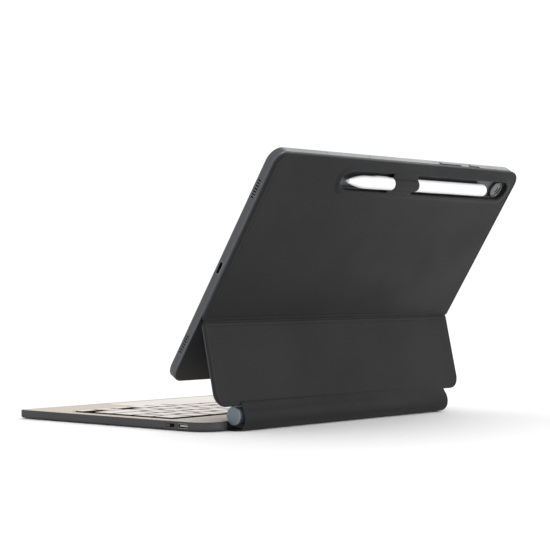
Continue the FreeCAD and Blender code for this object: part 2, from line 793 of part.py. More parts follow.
def build_stand():
    """Stand panel: leather cover, stiff board, lining and the hinge knuckles."""
    def panel(inset, low_gap="0"):
        return [
            (f"-stand_half + {inset}", f"stand_low + {inset} + {low_gap}", f"stand_corner - ({inset})"),
            (f"stand_half - ({inset})", f"stand_low + {inset} + {low_gap}", f"stand_corner - ({inset})"),
            (f"stand_half - ({inset})", f"stand_high - ({inset})", "panel_low_corner"),
            (f"-stand_half + {inset}", f"stand_high - ({inset})", "panel_low_corner"),
        ]

    leaf_ways = [rectangle(f"{low} - 0.3", f"{high} + 0.3", "stand_low - 1", "leaf_high + 0.3")
                 for low, high in KNUCKLES]
    cover = Piece("stand_cover", "stand")
    cover.add("-stand_out", "-stand_back", loops=[panel("0")])
    cover.round("edge_round", at_level("Z", "-stand_out"))
    cover.cut("-stand_core", "-stand_back", loops=[panel("panel_edge")])
    cover.cut("-stand_core", "-stand_back", loops=leaf_ways)
    board = Piece("stand_stiffener", "stand")
    board.add("-stand_core", "-stand_back", loops=[panel("panel_edge + fit_gap / 2")])
    board.cut("-stand_core", "-stand_back", loops=leaf_ways)
    lining = Piece("stand_lining", "stand")
    lining.add("-stand_back", "-stand_in", loops=[panel("lining_inset")])
    knuckles = Piece("hinge_knuckles", "stand")
    for low, high in KNUCKLES:
        knuckles.add(low, high, "YZ_Plane", circles=[("0", "0", "knuckle_rad")])
        knuckles.add(low, high, "YZ_Plane", loops=[
            rectangle("0", "leaf_high", "-stand_core + 0.02", "-stand_back - 0.02")])
    knuckles.cut("-knuckle_out - 1", "knuckle_out + 1", "YZ_Plane", circles=[("0", "0", "knuckle_bore")])


def slot_loop(grow):
    """The pen slot's outline, grown by an amount."""
    return rectangle(f"slot_right - {grow}", f"slot_left + {grow}", f"pen_s - slot_half - {grow}",
                     f"pen_s + slot_half + {grow}", f"slot_half + {grow} - 0.05")


def build_upper():
    """Upper panel: leather cover with the pen slot, stiff board, lining, magnets and pen loop."""
    def panel(inset):
        return [
            (f"-upper_half + {inset}", f"upper_low + {inset}", "panel_low_corner"),
            (f"upper_half - ({inset})", f"upper_low + {inset}", "panel_low_corner"),
            (f"upper_half - ({inset})", f"upper_high - ({inset})", f"upper_corner - ({inset})"),
            (f"-upper_half + {inset}", f"upper_high - ({inset})", f"upper_corner - ({inset})"),
        ]

    back = "upper_in - lining_thick"
    core = "skin - upper_out"
    cover = Piece("upper_cover", "upper")
    cover.add("-upper_out", back, loops=[panel("0")])
    cover.round("edge_round", at_level("Z", "-upper_out"))
    cover.add("-upper_out - rim_high", "0", loops=[slot_loop("rim_wide")])
    cover.round("rim_high / 2", at_level("Z", "-upper_out - rim_high"))
    cover.cut(core, back, loops=[panel("panel_edge")])
    cover.cut("-upper_out - rim_high - 1", "upper_in", loops=[slot_loop("0")])
    board = Piece("upper_stiffener", "upper")
    board.add(core, back, loops=[panel("panel_edge + fit_gap / 2")])
    board.cut(core, back, loops=[slot_loop("0.8")])
    magnets = [(str(x), str(along), "magnet_rad") for x in MAGNETS_X for along in MAGNETS_S]
    board.cut(f"{back} - magnet_thick", back, circles=magnets)
    Piece("holding_magnets", "upper").add(f"{back} - magnet_thick", back, circles=[
        (x, along, "magnet_rad - 0.05") for x, along, _ in magnets])
    lining = Piece("upper_lining", "upper")
    lining.add(back, "upper_in", loops=[panel("lining_inset")])
    lining.cut(back, "upper_in", loops=[slot_loop("0")])
    inner = "pen_rad + loop_gap"
    outer = f"({inner} + loop_thick)"
    strap = Piece("pen_loop", "upper")
    strap.add("loop_right", "loop_left", "YZ_Plane", loops=[[
        (f"pen_s - {outer}", f"pen_w - {outer}", "pen_rad"),
        (f"pen_s + {outer}", f"pen_w - {outer}", "pen_rad"),
        (f"pen_s + {outer}", "-upper_out - rim_high - loop_thick", "0"),
        ("pen_s + loop_foot", "-upper_out - rim_high - loop_thick", "0"),
        ("pen_s + loop_foot", "-upper_out - rim_high", "0"),
        ("pen_s - loop_foot", "-upper_out - rim_high", "0"),
        ("pen_s - loop_foot", "-upper_out - rim_high - loop_thick", "0"),
        (f"pen_s - {outer}", "-upper_out - rim_high - loop_thick", "0"),
    ]])
    strap.cut("loop_right - 1", "loop_left + 1", "YZ_Plane", circles=[("pen_s", "pen_w", inner)])
    crease = Piece("crease_strip", "crease")
    crease.add("-crease_half", "crease_half", "YZ_Plane", circles=[("0", "0", "crease_rad")])


def tablet_outline(inset):
    """The tablet's outline, drawn in by an inset."""
    return rectangle(f"-tab_half + {inset}", f"tab_half - ({inset})", f"tab_low + {inset}",
                     f"tab_high - ({inset})", f"tab_corner - ({inset})")


def grille_slots(s_middle):
    """Outlines of one speaker grille's slots."""
    first = -(GRILLE_SLOTS - 1) / 2
    return [centred(f"({s_middle} + {first + i} * grille_pitch)", "side_z", "grille_wide", "grille_high",
                    "grille_wide / 2 - 0.05") for i in range(GRILLE_SLOTS)]


def build_tablet():
    """The docked tablet: housing, glass, inner parts, buttons, port, speakers and camera."""
    housing = Piece("tablet_housing", "upper")
    housing.add("tab_back", "tab_front", loops=[tablet_outline("0")])
    housing.bevel("tab_chamfer", lambda edge: at_level("Z", "tab_back")(edge) or at_level("Z", "tab_front")(edge))
    housing.cut("tab_front - glass_thick - 0.05", "tab_front", loops=[tablet_outline("tab_bezel")])
    housing.cut("tab_back + tab_skin", "tab_front", loops=[tablet_outline("tab_wall")])
    slots = [slot for middle in GRILLES_S for slot in grille_slots(middle)]
    housing.cut("-tab_half - 1", "-tab_half + tab_wall + 1", "YZ_Plane", loops=slots)
    port = centred("tab_port_s", "side_z", "port_wide", "port_high", "port_high / 2 - 0.05")
    housing.cut("tab_half - tab_wall - 1", "tab_half + 1", "YZ_Plane", loops=slots + [port])
    housing.cut("-tab_high - 1", "-tab_high + button_deep", "XZ_Plane", loops=[
        centred("volume_x", "button_z", "volume_long + 0.3", "button_high + 0.3", "button_high / 2"),
        centred("power_x", "button_z", "power_long + 0.3", "button_high + 0.3", "button_high / 2"),
    ])
    housing.cut("-tab_high - 1", "-tab_high + mic_deep", "XZ_Plane",
                circles=[(str(x), "side_z", "mic_rad") for x in MICS_X])
    Piece("display_glass", "upper").add("tab_front - glass_thick", "tab_front",
                                        loops=[tablet_outline("tab_bezel + fit_gap")])
    inside = "tab_back + tab_skin"
    Piece("tablet_battery", "upper").add(inside, f"{inside} + tab_cell_thick", loops=[
        rectangle(str(low), str(high), "-38", "80", "3") for low, high in TABLET_CELLS])
    board = Piece("tablet_board", "upper")
    face = f"{inside} + tab_board_thick"
    board.add(inside, face, loops=[rectangle("-98", "110", "84", "112", "2")])
    board.add(face, f"{face} + tab_chip_high", loops=chips(TABLET_CHIPS))
    mesh = Piece("speaker_mesh", "upper")
    screens = [centred(str(middle), "side_z", "grille_pitch * 7.5", "grille_high + 0.8", "0.5")
               for middle in GRILLES_S]
    for low, high in (("tab_half - tab_wall - mesh_thick", "tab_half - tab_wall"),
                      ("-tab_half + tab_wall", "-tab_half + tab_wall + mesh_thick")):
        mesh.add(low, high, "YZ_Plane", loops=screens)
    port_shell("tablet_port_shell", "upper", "tab_half", "tab_port_s", "side_z")
    for label, x, long in (("volume_rocker", "volume_x", "volume_long"), ("power_button", "power_x", "power_long")):
        button = Piece(label, "upper")
        button.add("-tab_high - button_proud", "-tab_high + button_deep - 0.5", "XZ_Plane", loops=[
            centred(x, "button_z", long, "button_high", "button_high / 2 - 0.05")])
        button.bevel("0.2", at_level("Y", "tab_high + button_proud"))
    ring = Piece("camera_ring", "upper")
    ring.add("tab_back - camera_high", "tab_back", circles=[
        ("camera_x", "camera_s", "camera_rad"), ("camera_x", "camera_s", "camera_glass_rad")])
    ring.bevel("0.3", at_level("Z", "tab_back - camera_high"))
    lens = Piece("camera_lens", "upper")
    lens.add("tab_back - camera_high + 0.5", "tab_back", circles=[
        ("camera_x", "camera_s", "camera_glass_rad - 0.02")])
    lens.cut("tab_back - camera_high", "tab_back - camera_high + 0.9",
             circles=[("camera_x", "camera_s", "camera_pupil")])


def build_stylus():
    """Stylus: hollow barrel, core, pointed tip, nib, tail cap and side button."""
    barrel = Piece("stylus_barrel", "pen")
    barrel.add("pen_cap_end", "pen_shoulder", "YZ_Plane", circles=[("0", "0", "pen_rad"), ("0", "0", "pen_bore")])
    pocket = rectangle("pen_button_x - 0.15", "pen_button_x + pen_button_long + 0.15",
                       "-pen_button_wide / 2 - 0.15", "pen_button_wide / 2 + 0.15", "pen_button_wide / 2")
    barrel.cut("-pen_rad - 1", "-pen_rad + pen_button_deep + 0.1", "XZ_Plane", loops=[pocket])
    Piece("stylus_core", "pen").add("pen_cap_end", "pen_shoulder", "YZ_Plane",
                                    circles=[("0", "0", "pen_bore - 0.1")])
    tip = Piece("stylus_tip", "pen")
    taper = "(pen_cone_end - pen_shoulder)"
    narrow = "(pen_rad - pen_cone_rad)"
    side = [(f"pen_shoulder + {taper} * {share}", f"pen_rad - {narrow} * {share} ^ 1.6")
            for share in TAPER_STEPS]
    tip.turn([("pen_shoulder", "0"), ("pen_shoulder", "pen_rad"), *side,
              ("pen_cone_end", "pen_cone_rad"), ("pen_cone_end", "0")])
    nib = Piece("stylus_nib", "pen")
    nib.turn([("pen_cone_end", "0"), ("pen_cone_end", "pen_nib_rad"), ("pen_nib_end - 0.6", "pen_nib_rad - 0.1"),
              ("pen_nib_end", "0.3"), ("pen_nib_end", "0")])
    cap = Piece("stylus_cap", "pen")
    cap.turn([("pen_tail", "0"), ("pen_tail", "pen_rad - 1.6"), ("pen_tail + 0.5", "pen_rad - 0.8"),
              ("pen_tail + 1.6", "pen_rad - 0.1"), ("pen_cap_end - 0.2", "pen_rad"),
              ("pen_cap_end", "pen_rad"), ("pen_cap_end", "0")])
    button = Piece("stylus_button", "pen")
    button.add("-pen_rad - pen_button_proud", "-pen_rad + pen_button_deep - 0.2", "XZ_Plane", loops=[
        rectangle("pen_button_x", "pen_button_x + pen_button_long", "-pen_button_wide / 2",
                  "pen_button_wide / 2", "pen_button_wide / 2 - 0.05")])


def check_and_export():
    """Refuse anything broken, then write one STEP file for each part."""
    DOC.recompute()
    faults = []
    for item in DOC.Objects:
        if {"Invalid", "Error"} & set(item.State):
            faults.append(item.Label)
    bodies = [item for item in DOC.Objects if item.TypeId == "PartDesign::Body"]
    for body in bodies:
        if body.Shape.isNull() or not body.Shape.isValid() or not body.Shape.Solids:
            faults.append(body.Label)
    if faults:
        raise ValueError("broken: " + ", ".join(faults))
    os.makedirs("parts", exist_ok=True)
    for body in bodies:
        body.Shape.exportStep("parts/" + body.Label + ".step")
    print(len(bodies), "parts written")


build_tray()
build_deck()
build_keyboard_inside()
build_side_fittings()
build_keys()
build_hinge()
build_wrap()
build_stand()
build_upper()
build_tablet()
build_stylus()
check_and_export()
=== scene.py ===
"""Looks for the tablet keyboard case: leather, plastics, metals, light and camera around the CAD frame."""

import json
import logging
import math
from dataclasses import dataclass
from enum import Enum
from typing import Iterable, Sequence

import bmesh
import bpy
from mathutils import Matrix, Vector

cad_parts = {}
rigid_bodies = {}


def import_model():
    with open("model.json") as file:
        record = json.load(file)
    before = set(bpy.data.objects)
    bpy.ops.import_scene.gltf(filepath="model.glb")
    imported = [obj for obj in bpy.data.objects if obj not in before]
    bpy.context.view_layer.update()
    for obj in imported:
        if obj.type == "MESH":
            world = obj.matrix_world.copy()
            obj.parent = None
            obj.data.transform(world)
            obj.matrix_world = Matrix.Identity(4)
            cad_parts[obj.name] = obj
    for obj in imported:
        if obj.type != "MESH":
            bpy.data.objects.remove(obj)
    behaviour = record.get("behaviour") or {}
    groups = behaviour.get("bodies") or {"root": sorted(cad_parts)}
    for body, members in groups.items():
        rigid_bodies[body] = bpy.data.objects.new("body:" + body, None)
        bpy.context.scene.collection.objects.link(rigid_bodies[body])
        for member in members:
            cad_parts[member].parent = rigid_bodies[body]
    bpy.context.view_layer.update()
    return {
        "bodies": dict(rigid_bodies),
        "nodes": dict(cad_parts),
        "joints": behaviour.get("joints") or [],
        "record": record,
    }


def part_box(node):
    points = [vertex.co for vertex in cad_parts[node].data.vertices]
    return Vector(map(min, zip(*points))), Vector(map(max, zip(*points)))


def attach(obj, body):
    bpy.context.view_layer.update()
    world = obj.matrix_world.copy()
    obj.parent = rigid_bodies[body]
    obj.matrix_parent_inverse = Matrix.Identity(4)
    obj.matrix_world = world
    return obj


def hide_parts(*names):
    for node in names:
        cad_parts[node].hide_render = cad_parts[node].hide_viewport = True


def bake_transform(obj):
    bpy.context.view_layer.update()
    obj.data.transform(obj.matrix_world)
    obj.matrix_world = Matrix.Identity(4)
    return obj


LOG = logging.getLogger("tablet_keyboard_case")
Point = tuple[float, float]
Place = tuple[float, float, float]
Colour = tuple[float, float, float]
MM = 0.001

CREASE_LAP = 1.0 * MM
SHARP_ANGLE = math.radians(35)
SMALLEST_RADIUS = 0.05 * MM
CURVE_STEPS = 5
BAND_COLUMNS = 60

GRAIN_DETAIL = 3.0
BRUSH_STRETCH = (0.04, 1.0, 1.0)
WEAVE_DISTORTION = 1.5
PEBBLE_SHADES = (-0.2, 0.45)
PLAIN_SHADES = (0.25, 0.75)
BUMP_PER_REPEAT = 0.3
EDGE_RADIUS = 0.6 * MM
EDGE_COSINES = (0.99, 0.75)
EDGE_PATCHES = (160.0, 4.0)
# Cosines of the upright-face mask that takes painted shade.
WALL_SHADE_COSINES = (0.95, 0.85)
MARK_CLOUD = (22.0, 5.0)
MARK_RANGE = (0.35, 0.70)
SHEEN_ROUGHNESS = 0.4
COAT_ROUGHNESS = 0.05


class Texture(Enum):
    """The kinds of small-scale surface detail, each a shader node group."""

    PEBBLE = "PebbleGrain"
    SPECKLE = "MouldedSpeckle"
    BRUSHED = "BrushedLines"
    WEAVE = "FineWeave"


@dataclass(frozen=True)
class Finish:
    """One material's look.

    Attributes:
        name: Material name.
        colour: Main colour, linear RGB.
        deep: Colour in the low places of the texture.
        texture: Kind of small-scale detail.
        scale: Detail repeats per metre.
        relief: Strength of the bump.
        rough: Lowest and highest roughness over the surface.
        metal: Metallic value.
        sheen: Sheen weight.
        coat: Clear coat weight.
        edge_rub_and_light_colour: Colour of the edges: rubbing on most finishes, a painted highlight on the
            tablet's edges, painted shade on the keys' edges.
        edge_rub_and_light_share: How far that edge colour shows.
        gloss: Specular level.
        side: Painted shade on faces that don't look straight up, where it differs from the top's colour.
    """

    name: str
    colour: Colour
    deep: Colour
    texture: Texture = Texture.SPECKLE
    scale: float = 900.0
    relief: float = 0.15
    rough: tuple[float, float] = (0.45, 0.6)
    metal: float = 0.0
    sheen: float = 0.0
    coat: float = 0.0
    edge_rub_and_light_colour: Colour = (0.3, 0.3, 0.3)
    edge_rub_and_light_share: float = 0.0
    gloss: float = 0.5
    side: Colour | None = None


LEATHER = Finish("case_leather", (0.0120, 0.0120, 0.0132), (0.0088, 0.0088, 0.0098), Texture.PEBBLE, 1700,
                 0.22, (0.50, 0.62), sheen=0.03, edge_rub_and_light_colour=(0.06, 0.06, 0.065), edge_rub_and_light_share=0.3, gloss=0.20)
WRAP = Finish("wrap_leather", (0.0112, 0.0112, 0.0124), (0.0082, 0.0082, 0.0092), Texture.PEBBLE, 1500, 0.26,
              (0.50, 0.64), sheen=0.03, edge_rub_and_light_colour=(0.05, 0.05, 0.055), edge_rub_and_light_share=0.2, gloss=0.20)
MICROFIBRE = Finish("microfibre_lining", (0.050, 0.050, 0.054), (0.030, 0.030, 0.033), Texture.WEAVE, 2600,
                    0.3, (0.85, 0.95), sheen=0.5)
SHELL = Finish("soft_touch_shell", (0.030, 0.030, 0.033), (0.024, 0.024, 0.027), Texture.SPECKLE, 2200, 0.12,
               (0.48, 0.60), edge_rub_and_light_colour=(0.12, 0.12, 0.125), edge_rub_and_light_share=0.4)
DECK = Finish("palm_rest_deck", (0.62, 0.545, 0.475), (0.56, 0.49, 0.425), Texture.PEBBLE, 2200, 0.10,
              (0.55, 0.68), edge_rub_and_light_colour=(0.75, 0.70, 0.64), edge_rub_and_light_share=0.2)
# Key caps: the dark side colour is painted shade on the keys' walls, and the dark edge colour is painted
# shade on their rounded top edges.
KEYCAP = Finish("key_cap_plastic", (0.80, 0.74, 0.70), (0.76, 0.70, 0.66), Texture.SPECKLE, 2600, 0.10,
                (0.50, 0.62), edge_rub_and_light_colour=(0.10, 0.075, 0.065), edge_rub_and_light_share=1.3, side=(0.030, 0.021, 0.019))
PAD = Finish("trackpad_face", (0.76, 0.70, 0.64), (0.74, 0.68, 0.62), Texture.SPECKLE, 3500, 0.04,
             (0.32, 0.42), edge_rub_and_light_colour=(0.9, 0.86, 0.8), edge_rub_and_light_share=0.5)
PLATE = Finish("key_support_plate", (0.035, 0.026, 0.024), (0.025, 0.018, 0.017), Texture.BRUSHED, 900, 0.1,
               (0.5, 0.65), metal=0.2)
SILICONE = Finish("dome_silicone", (0.05, 0.04, 0.038), (0.04, 0.032, 0.03), Texture.SPECKLE, 1600, 0.1,
                  (0.55, 0.7))
RUBBER = Finish("foot_rubber", (0.03, 0.03, 0.03), (0.02, 0.02, 0.02), Texture.SPECKLE, 1500, 0.3,
                (0.75, 0.9))
BARREL = Finish("hinge_barrel_anodised", (0.165, 0.20, 0.235), (0.14, 0.17, 0.20), Texture.SPECKLE, 2600,
                0.10, (0.34, 0.46), metal=0.55, edge_rub_and_light_colour=(0.45, 0.5, 0.54), edge_rub_and_light_share=0.6)
STEEL = Finish("turned_steel", (0.50, 0.50, 0.52), (0.40, 0.40, 0.42), Texture.BRUSHED, 1500, 0.1,
               (0.25, 0.4), metal=1.0)
PORT = Finish("port_steel", (0.30, 0.30, 0.31), (0.22, 0.22, 0.23), Texture.BRUSHED, 1800, 0.08, (0.28, 0.4),
              metal=1.0)
NYLON = Finish("white_nylon", (0.62, 0.62, 0.60), (0.55, 0.55, 0.53), Texture.SPECKLE, 1600, 0.1, (0.45, 0.6))
LIGHT_PIPE = Finish("status_light_lens", (0.55, 0.80, 0.62), (0.50, 0.74, 0.57), Texture.SPECKLE, 3000, 0.03,
                    (0.1, 0.2), coat=0.5)
CIRCUIT = Finish("circuit_board", (0.02, 0.10, 0.045), (0.015, 0.07, 0.03), Texture.BRUSHED, 700, 0.1,
                 (0.35, 0.5))
FOIL = Finish("battery_foil", (0.40, 0.40, 0.42), (0.33, 0.33, 0.35), Texture.SPECKLE, 500, 0.25, (0.35, 0.5),
              metal=0.7)
NICKEL = Finish("magnet_nickel", (0.55, 0.54, 0.52), (0.48, 0.47, 0.45), Texture.BRUSHED, 1200, 0.06,
                (0.2, 0.32), metal=1.0)
FIBREBOARD = Finish("stiff_board", (0.10, 0.10, 0.085), (0.07, 0.07, 0.06), Texture.WEAVE, 1400, 0.2,
                    (0.6, 0.75))
# Tablet: the light edge colour is a painted highlight on the chamfered edges.
TABLET = Finish("tablet_graphite", (0.085, 0.090, 0.096), (0.070, 0.075, 0.081), Texture.SPECKLE, 3200, 0.05,
                (0.30, 0.38), metal=0.75, edge_rub_and_light_colour=(0.42, 0.43, 0.44), edge_rub_and_light_share=0.8)
SCREEN = Finish("screen_glass", (0.006, 0.006, 0.007), (0.005, 0.005, 0.006), Texture.SPECKLE, 400, 0.0,
                (0.06, 0.10), coat=1.0)
LENS = Finish("camera_glass", (0.012, 0.012, 0.016), (0.008, 0.008, 0.012), Texture.SPECKLE, 800, 0.0,
              (0.04, 0.08), coat=1.0)
PEN = Finish("stylus_white", (0.84, 0.84, 0.84), (0.80, 0.80, 0.80), Texture.SPECKLE, 3000, 0.04,
             (0.35, 0.45), edge_rub_and_light_colour=(0.95, 0.95, 0.95), edge_rub_and_light_share=0.2)
NIB = Finish("stylus_nib", (0.45, 0.45, 0.47), (0.40, 0.40, 0.42), Texture.SPECKLE, 3000, 0.1, (0.5, 0.6))
FLOOR = Finish("studio_floor", (0.985, 0.985, 0.985), (0.98, 0.98, 0.98), Texture.SPECKLE, 60, 0.0,
               (0.8, 0.9))

NODE_FINISH: dict[Finish, tuple[str, ...]] = {
    SHELL: ("base_tray", "power_switch"),
    DECK: ("palm_deck",),
    PLATE: ("key_plate",),
    SILICONE: ("dome_sheet",),
    CIRCUIT: ("controller_board", "trackpad_switch", "tablet_board", "stylus_core"),
    FOIL: ("battery_cells", "tablet_battery"),
    NICKEL: ("closing_magnets", "holding_magnets"),
    RUBBER: ("rubber_feet",),
    LIGHT_PIPE: ("status_light",),
    PORT: ("charging_port_shell", "tablet_port_shell", "speaker_mesh"),
    NYLON: ("charging_port_tongue", "barrel_bushings"),
    BARREL: ("hinge_barrel", "barrel_end_caps"),
    STEEL: ("hinge_shaft", "hinge_brackets", "hinge_screws", "hinge_knuckles"),
    KEYCAP: ("number_keys", "upper_letter_keys", "home_letter_keys", "lower_letter_keys",
             "left_modifier_keys", "space_bar", "right_modifier_keys", "arrow_keys"),
    PAD: ("trackpad",),
    MICROFIBRE: ("stand_lining", "upper_lining"),
    FIBREBOARD: ("stand_stiffener", "upper_stiffener"),
    LEATHER: ("stand_cover", "upper_cover", "crease_strip", "pen_loop"),
    WRAP: ("hinge_wrap",),
    TABLET: ("tablet_housing", "camera_ring", "volume_rocker", "power_button"),
    SCREEN: ("display_glass",),
    LENS: ("camera_lens",),
    PEN: ("stylus_barrel", "stylus_tip", "stylus_cap", "stylus_button"),
    NIB: ("stylus_nib",),
}


class Workshop:
    """Makes the shared node groups and one material for each finish."""

    def __init__(self) -> None:
        """Start with no groups and no materials."""
        self.groups: dict[str, bpy.types.NodeTree] = {}
        self.materials: dict[str, bpy.types.Material] = {}

    def _group(self, name: str, inputs: Sequence[tuple[str, str]],
               outputs: Sequence[str]) -> bpy.types.NodeTree:
        """Start an empty node group with named sockets.

        Args:
            name: Group name.
            inputs: (socket name, socket type) pairs.
            outputs: Names of float outputs.

        Returns:
            The group's tree.
        """
        tree = bpy.data.node_groups.new(name, "ShaderNodeTree")
        for label, kind in inputs:
            tree.interface.new_socket(label, in_out="INPUT", socket_type=kind)
        for label in outputs:
            tree.interface.new_socket(label, in_out="OUTPUT", socket_type="NodeSocketFloat")
        self.groups[name] = tree
        return tree

    @staticmethod
    def _use(tree: bpy.types.NodeTree, group: bpy.types.NodeTree) -> bpy.types.Node:
        """Place a node group in a tree.

        Args:
            tree: Tree to work in.
            group: The group's tree.

        Returns:
            The group node.
        """
        node = tree.nodes.new("ShaderNodeGroup")
        node.node_tree = group
        return node

    @staticmethod
    def _combine(tree: bpy.types.NodeTree, first: bpy.types.NodeSocket, second: bpy.types.NodeSocket,
                 operation: str) -> bpy.types.NodeSocket:
        """Join two values by a Math node.

        Args:
            tree: Tree to work in.
            first: First value.
            second: Second value.
            operation: Math operation.

        Returns:
            The result's socket.
        """
        node = tree.nodes.new("ShaderNodeMath")
        node.operation = operation
        tree.links.new(first, node.inputs[0])
        tree.links.new(second, node.inputs[1])
        return node.outputs[0]

    @staticmethod
    def _noise(tree: bpy.types.NodeTree, place: bpy.types.NodeSocket, scale: float,
               detail: float) -> bpy.types.NodeSocket:
        """Add a soft noise.

        Args:
            tree: Tree to work in.
            place: Coordinates.
            scale: Repeats per metre.
            detail: Levels of finer noise.

        Returns:
            The noise's socket.
        """
        node = tree.nodes.new("ShaderNodeTexNoise")
        node.inputs["Scale"].default_value = scale
        node.inputs["Detail"].default_value = detail
        tree.links.new(place, node.inputs["Vector"])
        return node.outputs[0]

    @staticmethod
    def _remap(tree: bpy.types.NodeTree, value: bpy.types.NodeSocket, source: Point = (0.0, 1.0),
               target: Point = (0.0, 1.0)) -> bpy.types.NodeSocket:
        """Stretch a range of values to another.

        Args:
            tree: Tree to work in.
            value: The value.
            source: Ends of the range it comes from.
            target: Ends of the range it goes to.

        Returns:
            The result's socket.
        """
        node = tree.nodes.new("ShaderNodeMapRange")
        for label, number in zip(("From Min", "From Max", "To Min", "To Max"), (*source, *target)):
            node.inputs[label].default_value = number
        tree.links.new(value, node.inputs["Value"])
        return node.outputs[0]

    @staticmethod
    def _paint(tree: bpy.types.NodeTree, colour: bpy.types.NodeSocket, paint: Colour,
               share: bpy.types.NodeSocket) -> bpy.types.NodeSocket:
        """Mix a plain colour over another.

        Args:
            tree: Tree to work in.
            colour: Colour underneath.
            paint: The plain colour.
            share: How far the plain colour covers.

        Returns:
            The mixed colour's socket.
        """
        mix = tree.nodes.new("ShaderNodeMix")
        mix.data_type = "RGBA"
        mix.inputs["B"].default_value = (*paint, 1.0)
        tree.links.new(colour, mix.inputs["A"])
        tree.links.new(share, mix.inputs["Factor"])
        return mix.outputs["Result"]

    def texture(self, kind: Texture) -> bpy.types.NodeTree:
        """Build, once, the node group of a texture.

        Args:
            kind: Which texture.

        Returns:
            A group with inputs Vector and Scale, and outputs Height and Shade.
        """
        if kind.value in self.groups:
            return self.groups[kind.value]
        tree = self._group(kind.value, (("Vector", "NodeSocketVector"), ("Scale", "NodeSocketFloat")),
                           ("Height", "Shade"))
        entry = tree.nodes.new("NodeGroupInput")
        leave = tree.nodes.new("NodeGroupOutput")
        noise = tree.nodes.new("ShaderNodeTexNoise")
        noise.inputs["Detail"].default_value = GRAIN_DETAIL
        tree.links.new(entry.outputs["Scale"], noise.inputs["Scale"])
        tree.links.new(entry.outputs["Vector"], noise.inputs["Vector"])
        height = noise.outputs[0]
        if kind is Texture.PEBBLE:
            cells = tree.nodes.new("ShaderNodeTexVoronoi")
            cells.feature = "SMOOTH_F1"
            tree.links.new(entry.outputs["Scale"], cells.inputs["Scale"])
            tree.links.new(entry.outputs["Vector"], cells.inputs["Vector"])
            height = self._combine(tree, noise.outputs[0], cells.outputs["Distance"], "SUBTRACT")
        elif kind is Texture.BRUSHED:
            stretch = tree.nodes.new("ShaderNodeMapping")
            stretch.inputs["Scale"].default_value = BRUSH_STRETCH
            tree.links.new(entry.outputs["Vector"], stretch.inputs["Vector"])
            tree.links.new(stretch.outputs[0], noise.inputs["Vector"])
        elif kind is Texture.WEAVE:
            bands = []
            for axis in ("X", "Y"):
                wave = tree.nodes.new("ShaderNodeTexWave")
                wave.bands_direction = axis
                wave.inputs["Distortion"].default_value = WEAVE_DISTORTION
                tree.links.new(entry.outputs["Scale"], wave.inputs["Scale"])
                tree.links.new(entry.outputs["Vector"], wave.inputs["Vector"])
                bands.append(wave.outputs["Fac"])
            height = self._combine(tree, bands[0], bands[1], "MULTIPLY")
        tree.links.new(height, leave.inputs["Height"])
        shades = PEBBLE_SHADES if kind is Texture.PEBBLE else PLAIN_SHADES
        tree.links.new(self._remap(tree, height, shades), leave.inputs["Shade"])
        return tree

    def edges(self) -> bpy.types.NodeTree:
        """Build, once, the group that finds edges: rubbed on most finishes, painted highlight on the tablet's
        edges, painted shade on the keys' edges.

        Returns:
            A group with inputs Vector and Radius, and output Mask.
        """
        name = "RubbedAndPaintedLightEdges"
        if name in self.groups:
            return self.groups[name]
        tree = self._group(name, (("Vector", "NodeSocketVector"), ("Radius", "NodeSocketFloat")), ("Mask",))
        entry = tree.nodes.new("NodeGroupInput")
        leave = tree.nodes.new("NodeGroupOutput")
        bevel = tree.nodes.new("ShaderNodeBevel")
        bevel.samples = 4
        tree.links.new(entry.outputs["Radius"], bevel.inputs["Radius"])
        surface = tree.nodes.new("ShaderNodeNewGeometry")
        dot = tree.nodes.new("ShaderNodeVectorMath")
        dot.operation = "DOT_PRODUCT"
        tree.links.new(bevel.outputs[0], dot.inputs[0])
        tree.links.new(surface.outputs["Normal"], dot.inputs[1])
        turned = self._remap(tree, dot.outputs["Value"], EDGE_COSINES)
        patches = self._noise(tree, entry.outputs["Vector"], *EDGE_PATCHES)
        tree.links.new(self._combine(tree, turned, patches, "MULTIPLY"), leave.inputs["Mask"])
        return tree

    def painted_wall_shade(self) -> bpy.types.NodeTree:
        """Build, once, the group that finds faces that don't look straight up, where painted shade goes.

        Returns:
            A group with output Mask.
        """
        name = "PaintedWallShade"
        if name in self.groups:
            return self.groups[name]
        tree = self._group(name, (), ("Mask",))
        leave = tree.nodes.new("NodeGroupOutput")
        surface = tree.nodes.new("ShaderNodeNewGeometry")
        split = tree.nodes.new("ShaderNodeSeparateXYZ")
        tree.links.new(surface.outputs["True Normal"], split.inputs[0])
        tree.links.new(self._remap(tree, split.outputs["Z"], WALL_SHADE_COSINES), leave.inputs["Mask"])
        return tree

    def marks(self) -> bpy.types.NodeTree:
        """Build, once, the group of soft handling marks.

        Returns:
            A group with input Vector and output Mask.
        """
        name = "HandlingMarks"
        if name in self.groups:
            return self.groups[name]
        tree = self._group(name, (("Vector", "NodeSocketVector"),), ("Mask",))
        entry = tree.nodes.new("NodeGroupInput")
        leave = tree.nodes.new("NodeGroupOutput")
        cloud = self._noise(tree, entry.outputs["Vector"], *MARK_CLOUD)
        tree.links.new(self._remap(tree, cloud, MARK_RANGE), leave.inputs["Mask"])
        return tree

